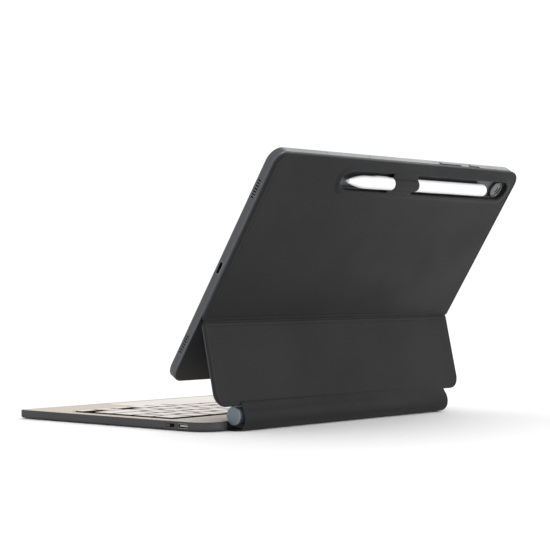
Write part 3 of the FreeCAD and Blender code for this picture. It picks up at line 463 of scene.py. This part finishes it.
    def material(self, finish: Finish) -> bpy.types.Material:
        """Build, once, the material of a finish.

        Args:
            finish: The look wanted.

        Returns:
            A procedural material.
        """
        if finish.name in self.materials:
            return self.materials[finish.name]
        made = bpy.data.materials.new(finish.name)
        made.use_nodes = True
        tree = made.node_tree
        shader = tree.nodes["Principled BSDF"]
        place = tree.nodes.new("ShaderNodeTexCoord").outputs["Object"]
        grain = self._use(tree, self.texture(finish.texture))
        grain.inputs["Scale"].default_value = finish.scale
        tree.links.new(place, grain.inputs["Vector"])
        tree.links.new(self._colour(tree, finish, place, grain.outputs["Shade"]), shader.inputs["Base Color"])
        marks = self._use(tree, self.marks())
        tree.links.new(place, marks.inputs["Vector"])
        rough = self._remap(tree, marks.outputs["Mask"], target=finish.rough)
        tree.links.new(rough, shader.inputs["Roughness"])
        if finish.relief > 0:
            bump = tree.nodes.new("ShaderNodeBump")
            bump.inputs["Strength"].default_value = finish.relief
            bump.inputs["Distance"].default_value = BUMP_PER_REPEAT / finish.scale
            tree.links.new(grain.outputs["Height"], bump.inputs["Height"])
            tree.links.new(bump.outputs[0], shader.inputs["Normal"])
        for label, number in (
            ("Metallic", finish.metal),
            ("Specular IOR Level", finish.gloss),
            ("Sheen Weight", finish.sheen),
            ("Sheen Roughness", SHEEN_ROUGHNESS),
            ("Coat Weight", finish.coat),
            ("Coat Roughness", COAT_ROUGHNESS),
        ):
            shader.inputs[label].default_value = number
        self.materials[finish.name] = made
        return made

    def _colour(self, tree: bpy.types.NodeTree, finish: Finish, place: bpy.types.NodeSocket,
                shade: bpy.types.NodeSocket) -> bpy.types.NodeSocket:
        """Colour a material: its grain, then its edge colour (rubbing on most finishes, painted highlight on
        the tablet, painted shade on the keys), then painted shade on faces that don't look straight up.

        Args:
            tree: The material's tree.
            finish: The look wanted.
            place: Object coordinates.
            shade: The grain's light and dark.

        Returns:
            The colour's socket.
        """
        tint = tree.nodes.new("ShaderNodeMix")
        tint.data_type = "RGBA"
        tint.inputs["A"].default_value = (*finish.deep, 1.0)
        tint.inputs["B"].default_value = (*finish.colour, 1.0)
        tree.links.new(shade, tint.inputs["Factor"])
        colour = tint.outputs["Result"]
        # Edge colour: rubbing on most finishes, a painted highlight on the tablet's edges and painted shade
        # on the keys' edges.
        if finish.edge_rub_and_light_share > 0:
            edge = self._use(tree, self.edges())
            edge.inputs["Radius"].default_value = EDGE_RADIUS
            tree.links.new(place, edge.inputs["Vector"])
            share = tree.nodes.new("ShaderNodeMath")
            share.operation = "MULTIPLY"
            share.inputs[1].default_value = finish.edge_rub_and_light_share
            tree.links.new(edge.outputs["Mask"], share.inputs[0])
            colour = self._paint(tree, colour, finish.edge_rub_and_light_colour, share.outputs[0])
        # Painted shade: faces that don't look straight up take the side colour, standing in for the shade
        # between the keys.
        if finish.side:
            painted_wall_shade = self._use(tree, self.painted_wall_shade())
            colour = self._paint(tree, colour, finish.side, painted_wall_shade.outputs["Mask"])
        return colour


@dataclass(frozen=True)
class SoftBox:
    """A square area light.

    Attributes:
        name: Light name.
        place: Where it hangs, in metres.
        target: What it is turned to.
        size: Side, in metres.
        power: Power, in watts.
    """

    name: str
    place: Place
    target: Place
    size: float
    power: float

    def build(self) -> None:
        """Hang the light."""
        lamp = bpy.data.lights.new(self.name, "AREA")
        lamp.size = self.size
        lamp.energy = self.power
        made = bpy.data.objects.new(self.name, lamp)
        made.location = self.place
        aim = Vector(self.target) - Vector(self.place)
        made.rotation_euler = aim.to_track_quat("-Z", "Y").to_euler()
        bpy.context.scene.collection.objects.link(made)


SOFT_BOXES = (
    SoftBox("low_box", (-0.5, 2.2, 0.55), (0.0, 0.08, 0.12), 1.0, 16.0),
    SoftBox("side_box", (2.0, 0.6, 0.7), (0.05, 0.05, 0.08), 1.0, 4.0),
    SoftBox("rim_box", (-1.7, -0.7, 1.45), (0.0, 0.10, 0.16), 1.1, 5.0),
)


@dataclass
class Studio:
    """Floor, lights and camera.

    Attributes:
        floor_half: Half the floor's side, in metres.
        floor_cells: Squares along the floor's side.
        glow: Strength of the even white surround.
        eye: Camera place, in metres.
        yaw: Heading of the view, in degrees, turned from straight forward towards the user's left.
        pitch: Upward tilt, in degrees.
        roll: Turn about the line of sight, in degrees.
        lens: Focal length, in mm.
        sensor: Sensor width, in mm.
        shift: Camera shift, as parts of the frame.
        clip: Nearest and farthest distance that is drawn, in metres.
    """

    floor_half: float = 30.0
    floor_cells: int = 8
    glow: float = 1.04
    eye: Place = (0.8564, 0.7600, 0.0916)
    yaw: float = 48.55
    pitch: float = 0.04
    roll: float = -0.18
    lens: float = 108.4
    sensor: float = 36.0
    shift: Point = (-0.0047, 0.0129)
    clip: Point = (0.01, 200.0)

    def build(self, shop: Workshop) -> None:
        """Make the floor, the light and the camera.

        Args:
            shop: Source of materials.
        """
        self._floor(shop)
        self._world()
        for box in SOFT_BOXES:
            box.build()
        self._camera()

    def _floor(self, shop: Workshop) -> None:
        """Lay the floor.

        Args:
            shop: Source of materials.
        """
        mesh = bmesh.new()
        cells = self.floor_cells
        bmesh.ops.create_grid(mesh, x_segments=cells, y_segments=cells, size=self.floor_half)
        made = to_object(mesh, "studio_floor")
        made.data.materials.append(shop.material(FLOOR))

    def _world(self) -> None:
        """Set an even white surround and a plain display curve."""
        bpy.context.scene.view_settings.view_transform = "Standard"
        world = bpy.data.worlds.new("studio")
        world.use_nodes = True
        surround = world.node_tree.nodes["Background"]
        surround.inputs["Color"].default_value = (1.0, 1.0, 1.0, 1.0)
        surround.inputs["Strength"].default_value = self.glow
        bpy.context.scene.world = world

    def _camera(self) -> None:
        """Set the camera where the object is seen from behind and to the user's right."""
        yaw, pitch, roll = (math.radians(angle) for angle in (self.yaw, self.pitch, self.roll))
        level = math.cos(pitch)
        ahead = Vector((-math.sin(yaw) * level, -math.cos(yaw) * level, math.sin(pitch)))
        side = ahead.cross(Vector((0, 0, 1))).normalized()
        top = side.cross(ahead)
        right = side * math.cos(roll) + top * math.sin(roll)
        up = top * math.cos(roll) - side * math.sin(roll)
        turn = Matrix((right, up, -ahead)).transposed().to_4x4()
        lens = bpy.data.cameras.new("camera")
        lens.lens = self.lens
        lens.sensor_width = self.sensor
        lens.shift_x, lens.shift_y = self.shift
        lens.clip_start, lens.clip_end = self.clip
        made = bpy.data.objects.new("camera", lens)
        made.matrix_world = Matrix.Translation(self.eye) @ turn
        bpy.context.scene.collection.objects.link(made)
        bpy.context.scene.camera = made


def loft(mesh: bmesh.types.BMesh, rings: Iterable[Sequence[Sequence[float]]]) -> tuple[list, list]:
    """Draw a closed ring of edges and carry it through a row of places by extruding it.

    Args:
        mesh: The bmesh to work in.
        rings: Points of each ring, as many in every one.

    Returns:
        The edges of the first ring and of the last.
    """
    places = iter(rings)
    verts = [mesh.verts.new(point) for point in next(places)]
    start = [mesh.edges.new(pair) for pair in zip(verts, verts[1:] + verts[:1])]
    edges = start
    for points in places:
        made = bmesh.ops.extrude_edge_only(mesh, edges=edges)["geom"]
        fresh = {item for item in made if isinstance(item, bmesh.types.BMVert)}
        edges = [item for item in made
                 if isinstance(item, bmesh.types.BMEdge) and fresh.issuperset(item.verts)]
        verts = [next(edge.other_vert(vert) for edge in vert.link_edges if edge.other_vert(vert) in fresh)
                 for vert in verts]
        for vert, point in zip(verts, points):
            vert.co = point
    return start, edges


def close(mesh: bmesh.types.BMesh, edges: list[bmesh.types.BMEdge]) -> list[bmesh.types.BMFace]:
    """Fill a flat area.

    Args:
        mesh: The bmesh to work in.
        edges: One ring, or an outer ring and an inner one.

    Returns:
        The new faces.
    """
    made = bmesh.ops.triangle_fill(mesh, edges=edges, use_beauty=True)
    return [item for item in made["geom"] if isinstance(item, bmesh.types.BMFace)]


def spread(columns: int) -> list[float]:
    """Even steps from one end of a band to the other.

    Args:
        columns: Number of steps.

    Returns:
        Numbers from -1 to 1.
    """
    return [2 * column / columns - 1 for column in range(columns + 1)]


def near_end(share: float, start: float) -> float:
    """How far a place lies in the last stretch before either end of a band.

    Args:
        share: The place, from -1 to 1.
        start: Where the last stretch begins, from the middle.

    Returns:
        0 up to there, growing to 1 at the end.
    """
    return max(0.0, (abs(share) - start) / (1 - start))


def band(name: str, rings: Iterable[Sequence[Sequence[float]]], shop: Workshop) -> bpy.types.Object:
    """Make a soft leather band with both ends closed.

    Args:
        name: Piece name.
        rings: Sections along the band.
        shop: Source of materials.

    Returns:
        The new piece.
    """
    mesh = bmesh.new()
    for end in loft(mesh, rings):
        close(mesh, end)
    made = to_object(mesh, name)
    made.data.materials.append(shop.material(WRAP))
    return made


def to_object(mesh: bmesh.types.BMesh, name: str,
              flat: Iterable[bmesh.types.BMFace] = ()) -> bpy.types.Object:
    """Turn a bmesh into a smooth-shaded object at the origin.

    Args:
        mesh: The finished bmesh, which is freed.
        name: Object name.
        flat: Faces that are shaded flat.

    Returns:
        The new object.
    """
    bmesh.ops.recalc_face_normals(mesh, faces=mesh.faces)
    for face in mesh.faces:
        face.smooth = True
    mesh.faces.index_update()
    plain = [face.index for face in flat]
    data = bpy.data.meshes.new(name)
    mesh.to_mesh(data)
    mesh.free()
    data.set_sharp_from_angle(angle=SHARP_ANGLE)
    for index in plain:
        data.polygons[index].use_smooth = False
    made = bpy.data.objects.new(name, data)
    bpy.context.scene.collection.objects.link(made)
    return made


def local_frame(origin: Sequence[float], angle: float) -> Matrix:
    """Frame of a leaning panel: X across, Y up the panel, Z from its outer face inwards.

    Args:
        origin: A point on the panel's hinge line, in metres.
        angle: Lean from level, in degrees.

    Returns:
        The matrix from the panel's frame to the shared frame.
    """
    return Matrix.Translation(origin) @ Matrix.Rotation(math.radians(angle), 4, "X")


def rounded_loop(low: Point, high: Point, radii: Sequence[float], grow: float, steps: int = 9) -> list[Point]:
    """Points of a rounded rectangle, evenly grown or drawn in.

    Args:
        low: Lowest corner.
        high: Highest corner.
        radii: Corner radii from the low corner, anticlockwise.
        grow: Distance to move the outline outward.
        steps: Points on each corner arc.

    Returns:
        The points, anticlockwise.
    """
    corners = ((low[0], low[1], 180), (high[0], low[1], 270), (high[0], high[1], 0), (low[0], high[1], 90))
    points = []
    for (x, y, start), radius in zip(corners, radii):
        centre_x = x + (radius if x == low[0] else -radius)
        centre_y = y + (radius if y == low[1] else -radius)
        reach = max(radius + grow, SMALLEST_RADIUS)
        slip = radius + grow - reach
        centre_x += -slip if x == low[0] else slip
        centre_y += -slip if y == low[1] else slip
        for step in range(steps):
            turn = math.radians(start + 90 * step / (steps - 1))
            points.append((centre_x + reach * math.cos(turn), centre_y + reach * math.sin(turn)))
    return points


@dataclass
class LeatherPanel:
    """A leather-covered board with a turned edge, a pressed line beside it, and perhaps a slot.

    Attributes:
        name: Piece name.
        node: CAD node it stands for.
        body: CAD body it rides on.
        place: Panel frame.
        low: Lowest corner in the panel's frame.
        high: Highest corner in the panel's frame.
        radii: Corner radii from the low corner, anticlockwise.
        face: Outer face's depth, negative.
        back: Back's depth.
        line_in: Distance of the pressed line from the edge.
        slot: Slot's corners, if there is one.
        crest: Height of the soft rim round the slot.
        scoop: How far the slot widens at the nib's end, for a thumb.
        pressed: Depth of the pressed line.
        corner_steps: Points on each corner arc of the slot.
    """

    name: str
    node: str
    body: str
    place: Matrix
    low: Point
    high: Point
    radii: tuple[float, float, float, float]
    face: float
    back: float
    line_in: float = 2.2 * MM
    slot: tuple[Point, Point] | None = None
    crest: float = 0.8 * MM
    scoop: float = 2.6 * MM
    pressed: float = 0.13 * MM
    corner_steps: int = 13

    def edge_profile(self) -> list[Point]:
        """Section of the turned edge and pressed line.

        Returns:
            (distance in from the edge, depth) pairs from the back to the flat face.
        """
        line = self.line_in
        return [
            (0.9 * MM, self.back),
            (0.25 * MM, self.back),
            (0.0, self.back - 0.3 * MM),
            (0.0, self.face + 0.8 * MM),
            (0.06 * MM, self.face + 0.45 * MM),
            (0.25 * MM, self.face + 0.17 * MM),
            (0.6 * MM, self.face + 0.02 * MM),
            (1.0 * MM, self.face),
            (line - 0.35 * MM, self.face),
            (line - 0.12 * MM, self.face + self.pressed),
            (line + 0.12 * MM, self.face + self.pressed),
            (line + 0.45 * MM, self.face),
            (line + 1.2 * MM, self.face),
        ]

    def slot_profile(self) -> list[Point]:
        """Section of the soft rim and the slot's wall.

        Returns:
            (distance out from the slot, depth) pairs from the flat face to the back.
        """
        face, crest = self.face, self.crest
        return [
            (4.6 * MM, face),
            (3.8 * MM, face - 0.10 * crest),
            (3.0 * MM, face - 0.38 * crest),
            (2.2 * MM, face - 0.76 * crest),
            (1.5 * MM, face - 0.97 * crest),
            (0.9 * MM, face - crest),
            (0.4 * MM, face - 0.86 * crest),
            (0.1 * MM, face - 0.5 * crest),
            (0.0, face),
            (0.0, face + 0.8 * MM),
            (0.0, self.back),
        ]

    def build(self, shop: Workshop) -> None:
        """Make the panel.

        Args:
            shop: Source of materials.
        """
        mesh = bmesh.new()
        back, face = loft(mesh, [
            self._placed(rounded_loop(self.low, self.high, self.radii, -inset), depth)
            for inset, depth in self.edge_profile()])
        if self.slot:
            slot_face, slot_back = loft(mesh, [
                self._placed(self._slot_ring(grow, depth), depth) for grow, depth in self.slot_profile()])
            face, back = face + slot_face, back + slot_back
        made = to_object(mesh, self.name, close(mesh, face) + close(mesh, back))
        made.data.materials.append(shop.material(LEATHER))
        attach(made, self.body)
        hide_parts(self.node)

    def _placed(self, points: Iterable[Point], depth: float) -> list[Vector]:
        """Put a ring in the shared frame.

        Args:
            points: (x, y) in the panel's frame.
            depth: z in the panel's frame.

        Returns:
            The points.
        """
        return [self.place @ Vector((x, y, depth)) for x, y in points]

    def _slot_ring(self, grow: float, depth: float) -> list[Point]:
        """One ring of the slot, stretched at the nib's end into a thumb scoop.

        Args:
            grow: Distance out from the slot.
            depth: Depth of the ring.

        Returns:
            The ring's points.
        """
        low, high = self.slot
        half = (high[1] - low[1]) / 2 - SMALLEST_RADIUS
        share = min(max((self.back - depth) / (self.back - self.face), 0.0), 1.0)
        points = []
        for x, y in rounded_loop(low, high, (half,) * 4, grow, self.corner_steps):
            reach = max(0.0, (x - (high[0] - half)) / half)
            points.append((x + self.scoop * share * min(reach, 1.0) ** 2, y))
        return points


def soft_curve(points: Sequence[Point]) -> list[Point]:
    """Draw a smooth curve through a few points.

    Args:
        points: The points it passes through.

    Returns:
        Points of the curve, CURVE_STEPS to each stretch.
    """
    ends = [points[0], *points, points[-1]]
    curve = []
    for stretch in zip(ends, ends[1:], ends[2:], ends[3:]):
        for step in range(CURVE_STEPS):
            t = step / CURVE_STEPS
            weights = (
                -t + 2 * t ** 2 - t ** 3,
                2 - 5 * t ** 2 + 3 * t ** 3,
                t + 4 * t ** 2 - 3 * t ** 3,
                t ** 3 - t ** 2,
            )
            curve.append(tuple(sum(weight * value for weight, value in zip(weights, values)) / 2
                               for values in zip(*stretch)))
    return curve + [points[-1]]


# The roll's outline behind the hinge: shares of its reach backwards, and of the drop to its underside.
ROLL_OUTLINE = ((0.62, 0.88), (0.93, 0.56), (1.0, 0.15), (0.92, -0.22), (0.77, -0.48))
# The roll's slight unevenness along its length: height, waves and phase.
SAG_WAVES = ((0.12 * MM, 7.0, 0.7), (0.07 * MM, 17.0, 0.0))


@dataclass
class HingeWrap:
    """Leather that runs from under the keyboard round the barrel and up the stand.

    Attributes:
        axis: Hinge axis (y, z).
        lean: Stand panel's lean, in degrees.
        half: Half its width.
        front: Where its glued leaf begins.
        face: Distance of the stand's outer face from the axis.
        low: Its underside's height.
        roll: How far it stands out behind the axis at its tightest.
        reach: How far up the stand it runs.
        thick: Leather thickness.
        slack: How much further it bulges at the end away from the port.
        turned_in: Where it begins to thin towards its side edges, from the middle.
    """

    axis: Point
    lean: float
    half: float
    front: float
    face: float
    low: float = 0.1 * MM
    roll: float = 8.6 * MM
    reach: float = 7.8 * MM
    thick: float = 0.8 * MM
    slack: float = 1.5 * MM
    turned_in: float = 0.975

    def section(self, bulge: float) -> tuple[list[Point], int]:
        """Outer line of the wrap's section.

        Args:
            bulge: How far the roll stands out beyond its tightest.

        Returns:
            (y, z) points from the keyboard's underside to the stand's face, and the index where the part
            round the barrel begins.
        """
        lean = math.radians(self.lean)
        hinge_y, hinge_z = self.axis
        drop = self.low - hinge_z
        roll = self.roll + bulge
        leaf = [
            (self.front, self.low),
            (hinge_y - 4 * MM, self.low),
            (hinge_y + 1.2 * MM, self.low + 0.02 * MM),
        ]
        turned = [(hinge_y + out * roll, hinge_z + down * drop) for out, down in ROLL_OUTLINE]
        for along, out in (
            (self.reach - 1.2 * MM, self.face + 0.55 * MM),
            (self.reach, self.face + 0.05 * MM),
            (self.reach + 1.6 * MM, self.face - 0.35 * MM),
        ):
            turned.append((hinge_y + along * math.cos(lean) + out * math.sin(lean),
                           hinge_z + along * math.sin(lean) - out * math.cos(lean)))
        return soft_curve(leaf + turned), CURVE_STEPS * len(leaf)

    def build(self, shop: Workshop) -> None:
        """Make the wrap in two lengths and bend them between the keyboard, barrel and stand.

        Args:
            shop: Source of materials.
        """
        outer, cut = self.section(self.slack / 2)
        under = band("hinge_wrap_under", self._rings(0, cut), shop)
        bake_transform(under)
        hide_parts("hinge_wrap")
        behind = band("hinge_wrap_roll", self._rings(cut, len(outer) - 1), shop)
        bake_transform(behind)

    def _rings(self, first: int, last: int) -> list[list[Place]]:
        """Sections of one length of the wrap, from one side of the case to the other.

        Args:
            first: Index of the length's first point in the section.
            last: Index of its last point.

        Returns:
            The sections.
        """
        rings = []
        for share in spread(BAND_COLUMNS):
            sag = sum(height * math.sin(waves * share + phase) for height, waves, phase in SAG_WAVES)
            outer = self.section(self.slack * (1 - share) / 2 + sag)[0]
            inner = offset_line(outer, self.thick * (1 - near_end(share, self.turned_in) / 2))
            loop = outer[first:last + 1] + inner[first:last + 1][::-1]
            rings.append([(self.half * share, y, z) for y, z in loop])
        return rings


def offset_line(points: Sequence[Point], distance: float) -> list[Point]:
    """Move an open line to its left by a distance.

    Args:
        points: The line.
        distance: How far.

    Returns:
        The moved line.
    """
    moved = []
    last = len(points) - 1
    for i, (x, y) in enumerate(points):
        before, after = points[max(i - 1, 0)], points[min(i + 1, last)]
        run = Vector((after[0] - before[0], after[1] - before[1])).normalized()
        moved.append((x - run.y * distance, y + run.x * distance))
    return moved


@dataclass
class CaseFrames:
    """The leaning frames that the looks are built in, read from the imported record.

    Attributes:
        stand: Stand panel's frame, at the hinge axis.
        upper: Upper panel's frame, at the crease.
        lean: Stand panel's lean, in degrees.
        axis: Hinge axis (y, z).
    """

    stand: Matrix
    upper: Matrix
    lean: float
    axis: Point

    @classmethod
    def read(cls, frame: dict) -> "CaseFrames":
        """Work the frames out from the joints.


        Returns:
            The frames.
        """
        joints = {joint["name"]: joint for joint in frame["record"]["behaviour"]["joints"]}
        hinge = joints["stand_hinge"]
        fold = joints["crease_fold"]
        normal = joints["tablet_release"]["axis"]
        lean = 180.0 - hinge["range_deg"][1] - joints["barrel_turn"]["range_deg"][1]
        tilt = math.degrees(math.atan2(normal[1], -normal[2]))
        return cls(
            stand=local_frame(hinge["pos_m"], lean),
            upper=local_frame(fold["pos_m"], tilt),
            lean=lean,
            axis=(hinge["pos_m"][1], hinge["pos_m"][2]),
        )


def local_box(frame: dict, node: str, place: Matrix) -> tuple[Vector, Vector]:
    """A CAD node's box in a leaning frame.

    Args:
        node: CAD node.
        place: The frame.

    Returns:
        Lowest and highest corner.
    """
    back = place.inverted()
    points = [back @ vert.co for vert in frame["nodes"][node].data.vertices]
    low = Vector(min(point[i] for point in points) for i in range(3))
    high = Vector(max(point[i] for point in points) for i in range(3))
    return low, high


@dataclass
class Crease:
    """The soft valley where the stand panel folds against the upper panel.

    Attributes:
        stand: Stand panel.
        upper: Upper panel.
        trim: How far its ends stop short of the panels' sides.
        thick: Leather thickness.
        lap: How far it runs under each panel's edge.
        sunk: How far it lies below the panels' faces.
        rise: How far its middle is drawn from the fold towards the faces, as a share.
    """

    stand: LeatherPanel
    upper: LeatherPanel
    trim: float = 0.3 * MM
    thick: float = 0.6 * MM
    lap: float = 0.5 * MM
    sunk: float = 0.5 * MM
    rise: float = 0.2

    def build(self, shop: Workshop) -> None:
        """Make the crease as a thin bent band.

        Args:
            shop: Source of materials.
        """
        stand, upper = self.stand, self.upper
        middle = upper.place.translation
        first = stand.place @ Vector((0, stand.high[1] - self.lap, stand.face + self.sunk))
        last = upper.place @ Vector((0, upper.low[1] + self.lap, upper.face + self.sunk))
        valley = middle + (first + last - 2 * middle) * self.rise
        line = soft_curve([(point.y, point.z) for point in (first, valley, last)])
        loop = line + offset_line(line, self.thick)[::-1]
        half = stand.high[0] - self.trim
        rings = [[(half * share, y, z) for y, z in loop] for share in spread(BAND_COLUMNS)]
        made = band("crease_leather", rings, shop)
        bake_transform(made)
        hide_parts("crease_strip")


# The strap's glued wings: distance from the stylus, and height over the slot's rim.
STRAP_WING = ((8.4 * MM, 0.05 * MM), (7.0 * MM, 0.1 * MM), (5.8 * MM, 0.35 * MM))


@dataclass
class PenLoop:
    """Soft strap that holds the stylus in its slot.

    Attributes:
        place: Upper panel's frame.
        low: Lowest corner of the strap in that frame.
        high: Highest corner.
        pen_depth: Depth of the stylus axis.
        pen_radius: Stylus radius.
        rim: Depth of the rim's crest.
        thick: Strap thickness.
        gap: Room between stylus and strap.
        columns: Steps along the strap's width.
        edge: Where the strap begins to thin towards its edges, from the middle.
        arch_from: Angle at which its arch begins, in degrees.
        arch_steps: Steps along its arch.
        hollow: How far its underside follows the thinning of its top, as a share.
        grip: Where it is held by the stylus, above the stylus axis, in stylus radii. Not used.
    """

    place: Matrix
    low: Vector
    high: Vector
    pen_depth: float
    pen_radius: float
    rim: float
    thick: float = 0.85 * MM
    gap: float = 0.25 * MM
    columns: int = 16
    edge: float = 0.86
    arch_from: float = 12.0
    arch_steps: int = 14
    hollow: float = 0.6
    grip: float = 0.6

    def build(self, shop: Workshop) -> None:
        """Make the strap.

        Args:
            shop: Source of materials.
        """
        middle = (self.low.y + self.high.y) / 2
        inner = [(middle + across, depth) for across, depth in self._inner_line()]
        outer = offset_line(inner, -self.thick)
        rings = []
        for share in spread(self.columns):
            x = self.low.x + (self.high.x - self.low.x) * (share + 1) / 2
            pinch = near_end(share, self.edge) ** 2 / 2
            over = [Vector(a).lerp(Vector(b), 1 - pinch) for a, b in zip(inner, outer)]
            under = [Vector(a).lerp(Vector(b), pinch * self.hollow) for a, b in zip(inner, outer)]
            rings.append([self.place @ Vector((x, y, z)) for y, z in over + under[::-1]])
        made = band("pen_loop_strap", rings, shop)
        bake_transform(made)
        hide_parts("pen_loop")

    def _inner_line(self) -> list[Point]:
        """Inner line of the strap's section: a wing, the arch over the stylus, and the other wing.

        Returns:
            (distance across from the stylus, depth) pairs.
        """
        clear = self.pen_radius + self.gap
        wing = [(across, self.rim - height) for across, height in STRAP_WING]
        arch = []
        for step in range(self.arch_steps + 1):
            turn = math.radians(self.arch_from + (180 - 2 * self.arch_from) * step / self.arch_steps)
            arch.append((clear * math.cos(turn), self.pen_depth - clear * math.sin(turn)))
        return wing + arch + [(-across, depth) for across, depth in wing[::-1]]


@dataclass
class CaseLeather:
    """All the leather of the case: two panels, wrap, crease and pen loop.

    Attributes:
        frames: Leaning frames.
        tight: Radius of the panels' corners at the crease.
        stand_round: Radius of the stand panel's corners at the hinge.
        upper_round: Radius of the upper panel's top corners.
        recess: How far the upper panel's face lies in from its CAD box, to leave room for the slot's rim.
        slot_half: Half the slot's height.
        lens_room: How far the slot runs past the camera ring.
        nib_room: How far the slot runs past the nib.
        strap_extra: How far the strap runs on towards the stylus's tail.
    """

    frame: dict
    frames: CaseFrames
    tight: float = 1.0 * MM
    stand_round: float = 9.0 * MM
    upper_round: float = 9.5 * MM
    recess: float = 0.8 * MM
    slot_half: float = 6.75 * MM
    lens_room: float = 2.0 * MM
    nib_room: float = 1.6 * MM
    strap_extra: float = 3.5 * MM

    def build(self, shop: Workshop) -> None:
        """Make every leather piece.

        Args:
            shop: Source of materials.
        """
        stand = self._stand_panel()
        upper = self._upper_panel()
        stand.build(shop)
        upper.build(shop)
        wrap_low, wrap_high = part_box("hinge_wrap")
        HingeWrap(self.frames.axis, self.frames.lean, wrap_high[0], wrap_low[1], -stand.face).build(shop)
        Crease(stand, upper).build(shop)
        self._pen_loop(upper).build(shop)

    def _stand_panel(self) -> LeatherPanel:
        """Size the stand panel.

        Returns:
            The panel.
        """
        place = self.frames.stand
        low, high = local_box(self.frame, "stand_cover", place)
        return LeatherPanel(
            "stand_leather", "stand_cover", "stand", place, (low.x, low.y), (high.x, high.y + CREASE_LAP),
            (self.stand_round, self.stand_round, self.tight, self.tight), low.z, high.z)

    def _upper_panel(self) -> LeatherPanel:
        """Size the upper panel and its slot.

        Returns:
            The panel.
        """
        place = self.frames.upper
        low, high = local_box(self.frame, "upper_cover", place)
        pen_low, pen_high = local_box(self.frame, "stylus_barrel", place)
        middle = (pen_low.y + pen_high.y) / 2
        lens_end = local_box(self.frame, "camera_ring", place)[0].x - self.lens_room
        nib_end = local_box(self.frame, "stylus_nib", place)[1].x + self.nib_room
        return LeatherPanel(
            "upper_leather", "upper_cover", "upper_panel", place,
            (low.x, low.y - CREASE_LAP), (high.x, high.y),
            (self.tight, self.tight, self.upper_round, self.upper_round), low.z + self.recess, high.z,
            slot=((lens_end, middle - self.slot_half), (nib_end, middle + self.slot_half)))

    def _pen_loop(self, upper: LeatherPanel) -> PenLoop:
        """Size the pen loop.

        Args:
            upper: Upper panel.

        Returns:
            The loop.
        """
        pen_low, pen_high = local_box(self.frame, "stylus_barrel", upper.place)
        low, high = local_box(self.frame, "pen_loop", upper.place)
        low.x -= self.strap_extra
        return PenLoop(upper.place, low, high, (pen_low.z + pen_high.z) / 2, (pen_high.z - pen_low.z) / 2,
                       upper.face - upper.crest)


def dress_nodes(frame: dict, shop: Workshop) -> None:
    """Give every CAD node its own procedural material.

    Args:
        shop: Source of materials.
    """
    for finish, nodes in NODE_FINISH.items():
        for node in nodes:
            part = frame["nodes"][node]
            part.data.materials.clear()
            part.data.materials.append(shop.material(finish))


def main() -> None:
    """Build every sub-assembly's looks in turn."""
    logging.basicConfig(level=logging.INFO, format="%(name)s: %(message)s")
    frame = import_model()
    shop = Workshop()
    dress_nodes(frame, shop)
    LOG.info("dressed %d CAD nodes", len(frame["nodes"]))
    CaseLeather(frame, CaseFrames.read(frame)).build(shop)
    Studio().build(shop)


if __name__ == "__main__":
    main()
